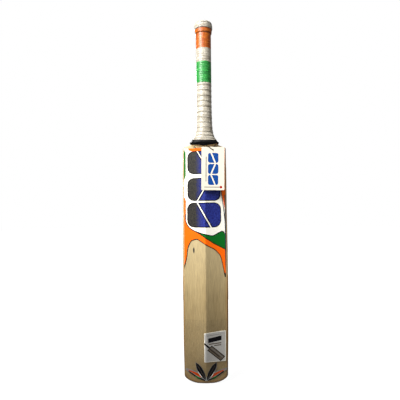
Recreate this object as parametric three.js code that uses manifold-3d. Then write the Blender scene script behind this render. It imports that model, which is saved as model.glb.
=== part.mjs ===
// A full-size cricket bat: a willow blade with a sharp spine, a laminated cane handle let into it by a
// V-shaped splice, twine binding, a ribbed rubber grip, stickers, and a card tag that hangs from a cord.
//
// Millimetres, +Z up. The bat stands on its toe: the origin is the middle of the toe's flat underside.
// The hitting face looks along -Y, the spine side along +Y, and X runs across the width.

import * as THREE from 'three';
import { mergeVertices } from 'three/addons/utils/BufferGeometryUtils.js';
import Module from 'manifold-3d';

// ---------------------------------------------------------------- driving dimensions

const BLADE_LENGTH = 558; // toe to the height where the shoulders meet the handle
const FACE_Y = -12; // the hitting face at the toe and at the shoulders
const FACE_BOW = 5.5; // how far the face's hollow lies behind that line, deepest at z = 216
const BOW_SKEW = 0.75;
const FACE_CAMBER = 1.2; // how far the face falls away at its two edges
const FACE_ROUNDING = 4; // radius between the face and the outline
const BACK_ROUNDING = 2.5; // radius between the back and the outline
const SPINE_SHARPNESS = 1.35; // above 1 the back hollows between its spine and its edges

// Values along the blade, as [height, value] knots.
const HALF_WIDTH = profile([22, 51.1], [120, 51.9], [280, 51.9], [340, 51.1], [420, 50.6], [500, 50.6], [553, 50.3]);
const EDGE_THICKNESS = profile(
  [10, 18.5], [40, 21], [80, 25.5], [120, 28.5], [160, 31.5], [220, 32.5],
  [280, 31], [340, 28], [400, 23.5], [460, 20], [528, 16], [558, 15],
);
const SPINE_RISE = profile([0, 4], [20, 5.5], [60, 11], [100, 15], [150, 17.8], [200, 18.5], [400, 17.3], [558, 17.5]);

const TOE_FLAT = 16.5; // half the width of the flat under the toe
const TOE_RISE = 20; // height over which the toe curves up into the edges
const TOE_ROUNDNESS = 1.5; // 2 would make that curve an ellipse; less lifts it sooner
const SHOULDER_TOP = 559.2; // blade height beside the handle
const SHOULDER_NECK = 31; // half width of that top
const SHOULDER_END = 551.5; // height of the shoulders at the edges

const HANDLE_Z = 557; // where the handle's own axis starts
const HANDLE_Y = 4.8;
const HANDLE_LEAN = THREE.MathUtils.degToRad(3.3); // the handle leans towards the face
const CANE_TOP = 292; // along the handle's axis, as are all the handle's heights below
const SPLICE_TIP_Z = 410;
const SPLICE_TIP_HALF = 2.5;
const SPLICE_TOP_HALF = 24; // half width of the V where it leaves the blade
const GLUE_GAP = 0.3;
const HANDLE_FACETS = 22;

// The bare handle's half width and half depth along its axis.
const HANDLE_HALF_WIDTH = profile(
  [-8, 29], [0, 30.8], [7, 28.2], [14, 24.1], [21, 20.6], [31, 17.9], [46, 16.3], [71, 15.5], [105, 15.1],
);
const HANDLE_HALF_DEPTH = profile(
  [-8, 12], [0, 16.2], [7, 17.5], [20, 17.4], [31, 16.9], [46, 16.1], [71, 15.5], [105, 15.1],
);

const CANE_LAYERS = 4; // front to back
const CANE_ROWS = 3; // side to side
const LAYER_PITCH = 8.2;
const ROW_PITCH = 10.8;
const INSERT_THICKNESS = 1.6;

const BINDING = { start: 12, end: 289, inner: 0.3, outer: 0.75, ridge: 0.15, turn: 19 };
const GRIP = { start: 6, end: 276.2, inner: 1.2, outer: 2.9, ridge: 0.5, turn: 13.5, ribbed: 146 };
const CUFF = { start: 266.4, base: 4.1, flare: 5.2 }; // the grip's turned-back top end
const CAP = { start: 276.6, rim: 6.1, shoulder: 291, top: 298.4, flat: 7 };
const COLLAR_LINING = [[-2, 1.6], [2.4, 1], [5.4, 3.2], [12, 3.2]]; // hugs the face, then steps out over the grip
const COLLAR_THICKNESS = 1.2;

const STICKER_GAP = 0.3;
const STICKER_THICKNESS = 0.35;
const FILM_THICKNESS = 0.25;
const EDGE_MIDDLE = 0.51; // where an edge's stickers are centred, from its face side to its back
const STICKER_TOP = 547.6;
const FILM_TOP = 156;
const LABEL = { foot: 55.3, top: 126.6, topRise: 0.04, side: 0.86, fold: 0.085 }; // side and fold are shares, from the spine

const CORD_RADIUS = 0.7;
const CORD_OFFSET = 5.5; // cord centre outside the bare handle
const KNOT_RADIUS = 1.5;
const KNOT_TURN = -80; // degrees round the handle: 0 is +X, -90 the middle of the face side
const STRAND_RADIUS = 0.6;
const STRAND_HINGE = new THREE.Vector3(0, 28, 557.5); // the tag's cord swings about X through here
const TAG = { width: 52.6, height: 99, thickness: 0.8, corner: 2.5, holeRadius: 2.2, holeDrop: 7.3 };
const TAG_HOLE = new THREE.Vector3(-19.5, 29.8, 543);
const TAG_TILT = THREE.MathUtils.degToRad(1.7); // its lower edge stands off the spine

const COLOURS = {
  willow: { color: 0xcdb386, roughness: 0.55 },
  cane: { color: 0xd9bd83, roughness: 0.6 },
  insert: { color: 0x2b2a28, roughness: 0.9 },
  twine: { color: 0xe9e2cf, roughness: 0.85 },
  grip: { color: 0xe8e1d0, roughness: 0.6 },
  cap: { color: 0xf1ead8, roughness: 0.6 },
  tape: { color: 0x1d1c1b, roughness: 0.45 },
  vinyl: { color: 0xf3efe2, roughness: 0.35 },
  film: { color: 0xe4e4e2, roughness: 0.2 },
  label: { color: 0xa9a7a3, roughness: 0.4 },
  cord: { color: 0x121212, roughness: 0.8 },
  card: { color: 0xf0eadb, roughness: 0.5 },
};

// ---------------------------------------------------------------- curves and small maths

// A smooth function through [position, value] knots that never overshoots them, and is constant outside.
function profile(...knots) {
  const last = knots.length - 1;
  const slope = (i) => (knots[i + 1][1] - knots[i][1]) / (knots[i + 1][0] - knots[i][0]);
  const tangents = knots.map((_, i) => {
    if (i === 0 || i === last) return 0;
    const [before, after] = [slope(i - 1), slope(i)];
    return before * after <= 0 ? 0 : (2 * before * after) / (before + after);
  });
  return (at) => {
    if (at <= knots[0][0]) return knots[0][1];
    if (at >= knots[last][0]) return knots[last][1];
    const i = knots.findIndex((knot) => knot[0] > at) - 1;
    const span = knots[i + 1][0] - knots[i][0];
    const t = (at - knots[i][0]) / span;
    const bend = t * t * (3 - 2 * t);
    const leave = t * (1 - t) * (1 - t);
    const arrive = t * t * (t - 1);
    return knots[i][1] * (1 - bend) + knots[i + 1][1] * bend + span * (leave * tangents[i] + arrive * tangents[i + 1]);
  };
}

const range = (count) => [...Array(count).keys()];
const spread = (from, to, count) => range(count).map((i) => from + ((to - from) * i) / (count - 1));
const mix = THREE.MathUtils.lerp;

// ---------------------------------------------------------------- solids

function geometryOf(points, triangles) {
  const geometry = new THREE.BufferGeometry();
  geometry.setAttribute('position', new THREE.Float32BufferAttribute(points.flatMap((p) => [p.x, p.y, p.z]), 3));
  geometry.setIndex(triangles.flat());
  geometry.computeVertexNormals();
  return geometry;
}

// A closed solid between two sheets of columns x rows points. The face sheet looks along -Y or, on an
// edge, inwards; walls join the two sheets round their border.
function sheetSolid(columns, rows, facePoint, backPoint) {
  const points = [];
  const triangles = [];
  const sheets = [facePoint, backPoint].map((pointAt) =>
    range(columns).map((i) => range(rows).map((j) => points.push(pointAt(i, j)) - 1)),
  );
  const quad = (a, b, c, d) => triangles.push([a, b, c], [a, c, d]);
  const [face, back] = sheets;
  for (let i = 0; i < columns - 1; i++) {
    for (let j = 0; j < rows - 1; j++) {
      quad(face[i][j], face[i + 1][j], face[i + 1][j + 1], face[i][j + 1]);
      quad(back[i][j], back[i][j + 1], back[i + 1][j + 1], back[i + 1][j]);
    }
    quad(face[i][0], back[i][0], back[i + 1][0], face[i + 1][0]);
    quad(face[i][rows - 1], face[i + 1][rows - 1], back[i + 1][rows - 1], back[i][rows - 1]);
  }
  for (let j = 0; j < rows - 1; j++) {
    quad(face[0][j], face[0][j + 1], back[0][j + 1], back[0][j]);
    quad(face[columns - 1][j], back[columns - 1][j], back[columns - 1][j + 1], face[columns - 1][j + 1]);
  }
  return geometryOf(points, triangles);
}

// A skin through rings of points that run anticlockwise seen from +Z, from the first ring to the last. A
// hollow skin comes back to its first ring; any other is closed by a fan at each end.
function loft(rings, hollow = false) {
  const points = rings.flat();
  const around = rings[0].length;
  const triangles = [];
  const skins = hollow ? rings.length : rings.length - 1;
  for (let k = 0; k < skins; k++) {
    const low = k * around;
    const high = ((k + 1) % rings.length) * around;
    for (let i = 0; i < around; i++) {
      const next = (i + 1) % around;
      triangles.push([low + i, low + next, high + next], [low + i, high + next, high + i]);
    }
  }
  if (!hollow) {
    const centre = (ring) => ring.reduce((sum, p) => sum.add(p), new THREE.Vector3()).divideScalar(around);
    const bottom = points.push(centre(rings[0])) - 1;
    const top = points.push(centre(rings.at(-1))) - 1;
    const lastRing = (rings.length - 1) * around;
    for (let i = 0; i < around; i++) {
      const next = (i + 1) % around;
      triangles.push([bottom, next, i], [top, lastRing + i, lastRing + next]);
    }
  }
  return geometryOf(points, triangles);
}

const wasm = await Module();
wasm.setup();

function toManifold(geometry, matrix = new THREE.Matrix4()) {
  const bare = geometry.clone().applyMatrix4(matrix);
  bare.deleteAttribute('normal');
  bare.deleteAttribute('uv');
  const merged = mergeVertices(bare, 1e-4);
  return new wasm.Manifold(
    new wasm.Mesh({
      numProp: 3,
      vertProperties: merged.attributes.position.array,
      triVerts: new Uint32Array(merged.index.array),
    }),
  );
}

function toGeometry(manifold) {
  const made = manifold.getMesh();
  const geometry = new THREE.BufferGeometry();
  geometry.setAttribute('position', new THREE.BufferAttribute(made.vertProperties, 3));
  geometry.setIndex(new THREE.BufferAttribute(made.triVerts, 1));
  geometry.computeVertexNormals();
  return geometry;
}

// ---------------------------------------------------------------- the blade's surfaces

// The outline's half width: the toe curves in below TOE_RISE, close to a quarter ellipse.
function outlineHalfWidth(z) {
  if (z >= TOE_RISE) return HALF_WIDTH(z);
  const drop = 1 - Math.max(z, 0) / TOE_RISE;
  return mix(TOE_FLAT, HALF_WIDTH(0), (1 - drop * drop) ** (1 / TOE_ROUNDNESS));
}

// The same curve the other way round: the height of the toe at a place across the blade.
function toeHeight(x) {
  const across = Math.max(0, Math.abs(x) - TOE_FLAT) / (HALF_WIDTH(0) - TOE_FLAT);
  return TOE_RISE * (1 - Math.sqrt(Math.max(0, 1 - across ** TOE_ROUNDNESS)));
}

const SHOULDER_LINE = profile(
  [SHOULDER_NECK - 1, SHOULDER_TOP], [SHOULDER_NECK + 3, 557], [42, 554.2], [48, 552.4], [50.3, SHOULDER_END - 1.5],
);
const shoulderHeight = (x) => SHOULDER_LINE(Math.abs(x));

// How far a point lies inside the outline.
function outlineDistance(x, z) {
  const across = Math.max(0, outlineHalfWidth(z) - Math.abs(x));
  const up = Math.max(0, z - toeHeight(x));
  const down = Math.max(0, shoulderHeight(x) - z);
  const along = Math.min(up, down);
  return across === 0 || along === 0 ? 0 : (across * along) / Math.hypot(across, along);
}

function rounding(radius, distance) {
  if (distance >= radius) return 0;
  return radius - Math.sqrt(radius * radius - (radius - distance) ** 2);
}

function faceDatum(z) {
  const share = THREE.MathUtils.clamp(z / BLADE_LENGTH, 0, 1);
  return FACE_Y + FACE_BOW * Math.sin(Math.PI * share ** BOW_SKEW);
}

function faceY(x, z) {
  const camber = FACE_CAMBER * (x / HALF_WIDTH(z)) ** 2;
  return faceDatum(z) + camber + rounding(FACE_ROUNDING, outlineDistance(x, z));
}

function backY(x, z) {
  const toSpine = Math.max(0, 1 - Math.abs(x) / HALF_WIDTH(z));
  const raised = SPINE_RISE(z) * toSpine ** SPINE_SHARPNESS;
  return faceDatum(z) + EDGE_THICKNESS(z) + raised - rounding(BACK_ROUNDING, outlineDistance(x, z));
}

// Columns across the blade, as shares of its half width: one on the toe flat's corner, more at the edges.
const HALF_COLUMNS = [0, LABEL.fold, 0.2, TOE_FLAT / HALF_WIDTH(0), 0.5, 0.68, LABEL.side, 0.93, 0.975, 1];
const COLUMNS = [...HALF_COLUMNS.slice(1).reverse().map((share) => -share), ...HALF_COLUMNS];

function bladeSolid() {
  const endSteps = [0, 0.8, 2.2, 4.2]; // rows close to the toe and the shoulders, where the corners round
  const between = 34;
  const crowding = 1.4; // above 1 crowds the rows between towards the toe, where the back changes fastest
  const rows = endSteps.length * 2 + between - 2;
  const heightAt = (column, j) => {
    const low = toeHeight(column * HALF_WIDTH(0));
    const high = shoulderHeight(column * HALF_WIDTH(BLADE_LENGTH));
    const inset = endSteps.at(-1);
    if (j < endSteps.length) return low + endSteps[j];
    if (j >= rows - endSteps.length) return high - endSteps[rows - 1 - j];
    const share = (j - endSteps.length + 1) / (between - 1);
    return mix(low + inset, high - inset, share ** crowding);
  };
  const pointOn = (surface) => (i, j) => {
    const z = heightAt(COLUMNS[i], j);
    const x = COLUMNS[i] * HALF_WIDTH(z);
    return new THREE.Vector3(x, surface(x, z), z);
  };
  return sheetSolid(COLUMNS.length, rows, pointOn(faceY), pointOn(backY));
}

// ---------------------------------------------------------------- the handle's surfaces

const handleMatrix = new THREE.Matrix4()
  .makeRotationX(HANDLE_LEAN)
  .setPosition(0, HANDLE_Y, HANDLE_Z);

// A ring round the handle's axis, at a height along it and an offset outside the bare handle.
function handleRing(height, offset) {
  const [a, b] = [HANDLE_HALF_WIDTH(height) + offset, HANDLE_HALF_DEPTH(height) + offset];
  return range(HANDLE_FACETS).map((i) => {
    const turn = (i / HANDLE_FACETS) * Math.PI * 2;
    return new THREE.Vector3(a * Math.cos(turn), b * Math.sin(turn), height);
  });
}

// A sleeve on the handle: its outside and its inside as [height, offset from the bare handle], rising.
function sleeve(outside, inside) {
  const path = [...outside, ...[...inside].reverse()];
  return loft(path.map(([height, offset]) => handleRing(height, offset)), true);
}

// The plain inside of a sleeve, with enough rings to follow the flare at the handle's foot.
function bore(start, end, offset) {
  const flare = [14, 21, 31, 46, 71, 105].filter((height) => height > start);
  return [start, ...flare, end].map((height) => [height, offset]);
}

function bareHandle() {
  const heights = [-8, -3, 0, 3, 7, 10, 14, 17, 21, 26, 31, 38, 46, 58, 71, 105, CANE_TOP];
  return loft(heights.map((height) => handleRing(height, 0)));
}

// The V of the splice, seen from the face, cut through the whole thickness and widening upwards.
function spliceVee(grow) {
  const widening = (SPLICE_TOP_HALF - SPLICE_TIP_HALF) / (SHOULDER_TOP - SPLICE_TIP_Z);
  const [low, high] = [SPLICE_TIP_Z - grow, 900];
  const halfAt = (z) => SPLICE_TIP_HALF + (z - SPLICE_TIP_Z) * widening + grow;
  const outline = new THREE.Shape([
    new THREE.Vector2(-halfAt(low), low),
    new THREE.Vector2(halfAt(low), low),
    new THREE.Vector2(halfAt(high), high),
    new THREE.Vector2(-halfAt(high), high),
  ]);
  const depth = 160;
  return new THREE.ExtrudeGeometry(outline, { depth, bevelEnabled: false })
    .rotateX(Math.PI / 2)
    .translate(0, depth / 2, 0);
}

// ---------------------------------------------------------------- wood: blade, cane strips and inserts

const wood = toManifold(bladeSolid()).add(toManifold(bareHandle(), handleMatrix));
const willow = wood.subtract(toManifold(spliceVee(GLUE_GAP)));
const cane = wood.intersect(toManifold(spliceVee(0)));

// A box along the handle's axis, from one side-to-side place and one front-to-back place to another.
function handleBar(left, right, front, back) {
  const length = 480; // reaches below the tip of the splice
  const bar = new THREE.BoxGeometry(right - left, back - front, length);
  bar.translate((left + right) / 2, (front + back) / 2, CANE_TOP + 10 - length / 2);
  return toManifold(bar, handleMatrix);
}

const PAST_THE_WOOD = 60; // from the handle's axis

// Each cane strip's limits: the outermost ones run past the wood.
function stripLimits(index, count, pitch, gap) {
  const low = (index - count / 2) * pitch;
  const high = low + pitch;
  return [index === 0 ? -PAST_THE_WOOD : low + gap / 2, index === count - 1 ? PAST_THE_WOOD : high - gap / 2];
}

function caneStrips() {
  const names = ['front', 'front_middle', 'back_middle', 'back'];
  const sides = ['left', 'centre', 'right'];
  return range(CANE_LAYERS).flatMap((layer) =>
    range(CANE_ROWS).map((row) => {
      const [front, back] = stripLimits(layer, CANE_LAYERS, LAYER_PITCH, INSERT_THICKNESS + 2 * GLUE_GAP);
      const [left, right] = stripLimits(row, CANE_ROWS, ROW_PITCH, GLUE_GAP);
      const strip = cane.intersect(handleBar(left, right, front, back));
      return named(`cane_${names[layer]}_${sides[row]}`, toGeometry(strip), 'cane');
    }),
  );
}

function rubberInserts() {
  return ['front', 'middle', 'back'].map((place, i) => {
    const y = (i - 1) * LAYER_PITCH;
    const half = INSERT_THICKNESS / 2;
    const sheet = cane.intersect(handleBar(-PAST_THE_WOOD, PAST_THE_WOOD, y - half, y + half));
    return named(`rubber_insert_${place}`, toGeometry(sheet), 'insert');
  });
}

// ---------------------------------------------------------------- binding, grip, collar and cap

function twineBinding() {
  const { start, end, inner, outer, ridge, turn } = BINDING;
  const turns = Math.round((end - start) / turn);
  const heights = spread(start, end, turns * 2 + 1);
  const outside = heights.map((height, i) => [height, outer + (i % 2 ? ridge : 0)]);
  return sleeve(outside, bore(start, end, inner));
}

// The grip is ribbed up to GRIP.ribbed: each rib swells upwards, then steps back.
function rubberGrip() {
  const { start, end, inner, outer, ridge, turn, ribbed } = GRIP;
  const outside = [[start, outer - ridge]];
  for (let height = start + turn; height < ribbed; height += turn) {
    outside.push([height - 1.2, outer], [height, outer - ridge]);
  }
  outside.push([ribbed + turn, outer], [CUFF.start - 1, outer]);
  outside.push([CUFF.start, CUFF.base], [end, CUFF.flare]);
  return sleeve(outside, bore(start, end, inner));
}

// Tape over the joint between blade and grip, cut to sit on the shoulders.
function gripCollar() {
  const outside = COLLAR_LINING.map(([height, offset]) => [height, offset + COLLAR_THICKNESS]);
  const band = toManifold(sleeve(outside, COLLAR_LINING), handleMatrix);
  return toGeometry(band.subtract(wood).subtract(wood.translate(0, 0, GLUE_GAP)));
}

// The white cap over the end of the handle, hollow below.
function endCap() {
  const { start, rim, shoulder, top, flat } = CAP;
  const radius = HANDLE_HALF_WIDTH(CANE_TOP);
  const bore = radius + GRIP.inner;
  const outside = [
    [radius + rim - 0.6, start],
    [radius + rim, start + 2],
    [radius + rim, shoulder - 2],
    [radius + rim - 2.4, shoulder + 1.6],
    [radius + rim - 7, shoulder + 5.2],
    [flat, top],
  ];
  const profilePoints = [[0, CANE_TOP + 0.4], [bore, CANE_TOP + 0.4], [bore, start], ...outside, [0, top]];
  const lathe = new THREE.LatheGeometry(profilePoints.map(([r, z]) => new THREE.Vector2(r, z)), 24);
  return lathe.rotateX(Math.PI / 2);
}

// ---------------------------------------------------------------- stickers and film

// A thin sheet on the face or the back, over the blade's columns between two shares of its half width. Its
// lower and upper borders are functions of x.
function sheetOnBlade(side, [from, to], [lower, upper], lift, thickness, rows) {
  const shares = COLUMNS.filter((share) => share >= from && share <= to);
  const [surface, outwards] = side === 'face' ? [faceY, -1] : [backY, 1];
  const pointAt = (offset) => (i, j) => {
    const x = shares[i] * HALF_WIDTH(0);
    const z = mix(lower(x), upper(x), j / (rows - 1));
    const across = shares[i] * HALF_WIDTH(z);
    return new THREE.Vector3(across, surface(across, z) + outwards * offset, z);
  };
  const [near, far] = [pointAt(lift), pointAt(lift + thickness)];
  return side === 'face'
    ? sheetSolid(shares.length, rows, far, near)
    : sheetSolid(shares.length, rows, near, far);
}

const level = (z) => () => z;
const mirrored = (curve) => (x) => curve(Math.abs(x));
const FACE_STICKER_FOOT = profile([-48, 325], [-27, 341], [-22, 320], [28, 311], [48, 318]);
const BACK_STICKER_FOOT = profile(
  [-48, 252], [-43, 262], [-36, 294], [-26, 311], [-16, 318], [0, 327.5], [18, 338], [30, 336], [36, 328],
  [43, 293], [48, 272],
);
const TOE_STICKER_FOOT = mirrored(profile([0, 8], [49, 31]));
const TOE_STICKER_TOP = mirrored(profile([0, 26], [22, 53], [27, 36], [49, 38]));

function stickers() {
  const [gap, thick] = [STICKER_GAP, STICKER_THICKNESS];
  const overFilm = gap + FILM_THICKNESS + gap;
  const wide = [-0.93, 0.93];
  const [top, filmFoot] = [level(STICKER_TOP), (x) => toeHeight(x) + 5];
  const onFace = sheetOnBlade('face', wide, [FACE_STICKER_FOOT, top], gap, thick, 14);
  const onBack = sheetOnBlade('back', wide, [BACK_STICKER_FOOT, top], gap, thick, 18);
  const film = sheetOnBlade('back', wide, [filmFoot, level(FILM_TOP)], gap, FILM_THICKNESS, 14);
  const onToe = sheetOnBlade('back', wide, [TOE_STICKER_FOOT, TOE_STICKER_TOP], overFilm, thick, 5);
  const labelBorders = [level(LABEL.foot), (x) => LABEL.top - LABEL.topRise * x];
  const label = sheetOnBlade('back', [-LABEL.side, LABEL.fold], labelBorders, overFilm, thick, 8);
  return [
    named('face_sticker', onFace, 'vinyl'),
    named('back_sticker', onBack, 'vinyl'),
    named('toe_film', film, 'film'),
    named('toe_sticker', onToe, 'vinyl'),
    named('size_label', label, 'label'),
    ...edgeStickers('right'),
    ...edgeStickers('left'),
  ];
}

// Stickers on one edge: a long tapering stripe with a wide foot, and a short badge below it.
function edgeStickers(side) {
  const sign = side === 'right' ? 1 : -1;
  const stripe = profile([308, 8], [368, 8], [374, 4.4], [505, 0.8]);
  const plate = (halfHeight, low, high, rows) => {
    const heights = spread(low, high, rows);
    const pointAt = (offset) => (i, j) => {
      const z = heights[j];
      const middle = faceDatum(z) + EDGE_THICKNESS(z) * EDGE_MIDDLE;
      return new THREE.Vector3(sign * (HALF_WIDTH(z) + offset), middle + (i ? 1 : -1) * halfHeight(z), z);
    };
    const inner = pointAt(STICKER_GAP);
    const outer = pointAt(STICKER_GAP + STICKER_THICKNESS);
    return sign > 0 ? sheetSolid(2, rows, outer, inner) : sheetSolid(2, rows, inner, outer);
  };
  return [
    named(`edge_stripe_${side}`, plate(stripe, 308, 505, 13), 'vinyl'),
    named(`edge_badge_${side}`, plate(level(11), 198, 255, 4), 'vinyl'),
  ];
}

// ---------------------------------------------------------------- the tag and its cord

// The cord's loop round the foot of the grip: it rises over the front, where it is knotted.
function cordLoop() {
  const climb = profile(
    [-180, 6], [-165, 9.5], [-120, 16], [-82, 20], [-45, 19], [-18, 8.5], [30, 4], [90, 3.5], [150, 4.5], [180, 6],
  );
  const pathPoint = (degrees) => {
    const height = climb(degrees);
    const turn = THREE.MathUtils.degToRad(degrees);
    return new THREE.Vector3(
      (HANDLE_HALF_WIDTH(height) + CORD_OFFSET) * Math.cos(turn),
      (HANDLE_HALF_DEPTH(height) + CORD_OFFSET) * Math.sin(turn),
      height,
    );
  };
  const path = new THREE.CatmullRomCurve3(range(36).map((i) => pathPoint(-180 + i * 10)), true);
  const loop = new THREE.ExtrudeGeometry(roundSection(CORD_RADIUS), { steps: 40, extrudePath: path });
  const tied = pathPoint(KNOT_TURN);
  const knot = new THREE.SphereGeometry(KNOT_RADIUS, 8, 6).translate(...tied);
  const tailPath = new THREE.CatmullRomCurve3([
    tied,
    tied.clone().add(new THREE.Vector3(-3.5, -0.6, 3.4)),
    tied.clone().add(new THREE.Vector3(-8.5, -0.6, 4.6)),
  ]);
  const tail = new THREE.ExtrudeGeometry(roundSection(CORD_RADIUS), { steps: 6, extrudePath: tailPath });
  return toGeometry(toManifold(loop).add(toManifold(knot)).add(toManifold(tail)));
}

function roundSection(radius) {
  return new THREE.Shape(new THREE.EllipseCurve(0, 0, radius, radius).getPoints(5).slice(0, -1));
}

// One strand in front of the tag and one behind it, joined through its hole.
function cordStrands() {
  const clear = TAG.thickness / 2 + STRAND_RADIUS + 0.25;
  const [hinge, hole] = [STRAND_HINGE, TAG_HOLE];
  const front = (x, z) => new THREE.Vector3(x, hole.y + (hole.z - z) * Math.tan(TAG_TILT) + clear, z);
  const behind = (x, z) => new THREE.Vector3(x, hole.y + (hole.z - z) * Math.tan(TAG_TILT) - clear, z);
  const path = new THREE.CatmullRomCurve3([
    new THREE.Vector3(3.4, hinge.y, hinge.z),
    front(0.6, hinge.z - 0.8),
    front(hole.x * 0.5, mix(hinge.z, hole.z, 0.5)),
    front(hole.x + 1.2, hole.z + 1),
    new THREE.Vector3(hole.x, hole.y, hole.z),
    behind(hole.x - 1, hole.z + 1),
    behind(hole.x - 3.5, mix(hinge.z, hole.z, 0.5)),
    new THREE.Vector3(hole.x - 7, hinge.y, hinge.z),
  ]);
  return new THREE.ExtrudeGeometry(roundSection(STRAND_RADIUS), { steps: 28, extrudePath: path });
}

// A card with rounded corners, drawn from its hole, standing in the XZ plane.
function hangTag() {
  const { width, height, thickness, corner, holeRadius, holeDrop } = TAG;
  const [x, top, low] = [width / 2, holeDrop, holeDrop - height];
  const card = new THREE.Shape()
    .moveTo(-x + corner, low)
    .lineTo(x - corner, low)
    .absarc(x - corner, low + corner, corner, -Math.PI / 2, 0)
    .lineTo(x, top - corner)
    .absarc(x - corner, top - corner, corner, 0, Math.PI / 2)
    .lineTo(-x + corner, top)
    .absarc(-x + corner, top - corner, corner, Math.PI / 2, Math.PI)
    .lineTo(-x, low + corner)
    .absarc(-x + corner, low + corner, corner, Math.PI, Math.PI * 1.5);
  card.holes.push(new THREE.Path().absarc(0, 0, holeRadius, 0, Math.PI * 2, true));
  return new THREE.ExtrudeGeometry(card, { depth: thickness, bevelEnabled: false, curveSegments: 4 })
    .translate(0, 0, -thickness / 2)
    .rotateX(Math.PI / 2);
}

// ---------------------------------------------------------------- assembly

function named(name, geometry, look) {
  const mesh = new THREE.Mesh(geometry, new THREE.MeshStandardMaterial({ metalness: 0, ...COLOURS[look] }));
  mesh.name = name;
  return mesh;
}

const handle = new THREE.Group();
handle.position.set(0, HANDLE_Y, HANDLE_Z);
handle.rotation.x = HANDLE_LEAN;
handle.add(
  named('twine_binding', twineBinding(), 'twine'),
  named('rubber_grip', rubberGrip(), 'grip'),
  named('end_cap', endCap(), 'cap'),
  named('cord_loop', cordLoop(), 'cord'),
);

const tag = named('hang_tag', hangTag(), 'card');
tag.position.copy(TAG_HOLE);
tag.rotation.x = TAG_TILT;

const bat = new THREE.Group();
bat.add(
  named('blade', toGeometry(willow), 'willow'),
  ...caneStrips(),
  ...rubberInserts(),
  handle,
  named('grip_collar', gripCollar(), 'tape'),
  ...stickers(),
  named('tag_cord', cordStrands(), 'cord'),
  tag,
);

export default bat;
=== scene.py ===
"""A cricket bat standing on its toe: willow blade, cane handle, rubber grip, stickers and a hanging tag.

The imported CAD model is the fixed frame. Shapes are worked out in millimetres in that frame (+Z up the blade
from the toe, -Y out of the hitting face, +Y out of the spine) and become metres when a mesh is made.
"""

import math

import bmesh
import bpy
from mathutils import Matrix, Vector, noise
from mathutils.geometry import delaunay_2d_cdt


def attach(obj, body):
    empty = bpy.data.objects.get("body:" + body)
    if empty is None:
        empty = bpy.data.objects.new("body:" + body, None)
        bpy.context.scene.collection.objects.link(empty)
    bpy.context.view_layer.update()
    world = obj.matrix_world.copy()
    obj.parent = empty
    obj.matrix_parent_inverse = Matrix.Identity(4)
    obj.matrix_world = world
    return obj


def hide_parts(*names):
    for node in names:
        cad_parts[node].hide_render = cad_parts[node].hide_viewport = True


MM = 0.001


def profile(*knots):
    """A smooth function through (position, value) knots that never overshoots them."""
    places, values = zip(*knots)
    last = len(knots) - 1
    slopes = [(values[i + 1] - values[i]) / (places[i + 1] - places[i]) for i in range(last)]

    def tangent(i):
        if i in (0, last) or slopes[i - 1] * slopes[i] <= 0:
            return 0
        return 2 * slopes[i - 1] * slopes[i] / (slopes[i - 1] + slopes[i])

    tangents = [tangent(i) for i in range(last + 1)]

    def value(at):
        if at <= places[0]:
            return values[0]
        if at >= places[last]:
            return values[last]
        i = next(k for k in range(1, last + 1) if places[k] > at) - 1
        span = places[i + 1] - places[i]
        t = (at - places[i]) / span
        bend = t * t * (3 - 2 * t)
        pull = t * (1 - t) ** 2 * tangents[i] + t * t * (t - 1) * tangents[i + 1]
        return values[i] * (1 - bend) + values[i + 1] * bend + span * pull

    return value


def clamp(value):
    return min(1, max(0, value))


def tent(value, middle, reach):
    """1 at the middle, falling in a straight line to 0 at reach from it."""
    return max(0, 1 - abs(value - middle) / reach)


def bell(value, middle, reach):
    """1 at the middle, falling off smoothly to about a third at reach from it."""
    return math.exp(-(((value - middle) / reach) ** 2))


def turns_round(count):
    return [2 * math.pi * k / count for k in range(count)]


def ripple(turn, height, crowding, pitch):
    """Smooth noise round the handle's axis: lumps pitch millimetres tall, closer together with crowding."""
    return noise.noise(Vector((crowding * math.cos(turn), crowding * math.sin(turn), height / pitch)))


# ---------- driving dimensions, as in the CAD

BLADE_LENGTH = 558
FACE_Y = -12
FACE_BOW = 5.5
BOW_SKEW = 0.75
FACE_CAMBER = 1.2
FACE_ROUNDING = 5
BACK_ROUNDING = 3
SPINE_SHARPNESS = 1.35
SPINE_SOFTNESS = 1.2  # the crest is rounded over about this half width

HALF_WIDTH = profile((22, 51.1), (120, 51.9), (280, 51.9), (340, 51.1), (420, 50.6), (500, 50.6), (553, 50.3))
EDGE_THICKNESS = profile(
    (10, 18.5), (40, 21), (80, 25.5), (120, 28.5), (160, 31.5), (220, 32.5),
    (280, 31), (340, 28), (400, 23.5), (460, 20), (528, 16), (558, 15),
)
SPINE_RISE = profile(
    (0, 4), (20, 5.5), (60, 11), (100, 15), (150, 17.8), (200, 18.5), (400, 17.3), (558, 17.5),
)

TOE_FLAT = 16.5
TOE_RISE = 20
TOE_ROUNDNESS = 1.5
SHOULDER_LINE = profile((30, 559.2), (34, 557), (42, 554.2), (48, 552.4), (50.3, 550))

HANDLE_Z = 557
HANDLE_Y = 4.8
HANDLE_LEAN = math.radians(3.3)
HANDLE_HALF_WIDTH = profile(
    (-8, 29), (0, 30.8), (7, 28.2), (14, 24.1), (21, 20.6), (31, 17.9), (46, 16.3), (71, 15.5), (105, 15.1),
)
HANDLE_HALF_DEPTH = profile(
    (-8, 12), (0, 16.2), (7, 17.5), (20, 17.4), (31, 16.9), (46, 16.1), (71, 15.5), (105, 15.1),
)
SPLICE_TIP_Z = 410
SPLICE_TIP_HALF = 2.5
SPLICE_TOP_Z = 559.2
SPLICE_TOP_HALF = 24
GLUE_GAP = 0.3

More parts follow.
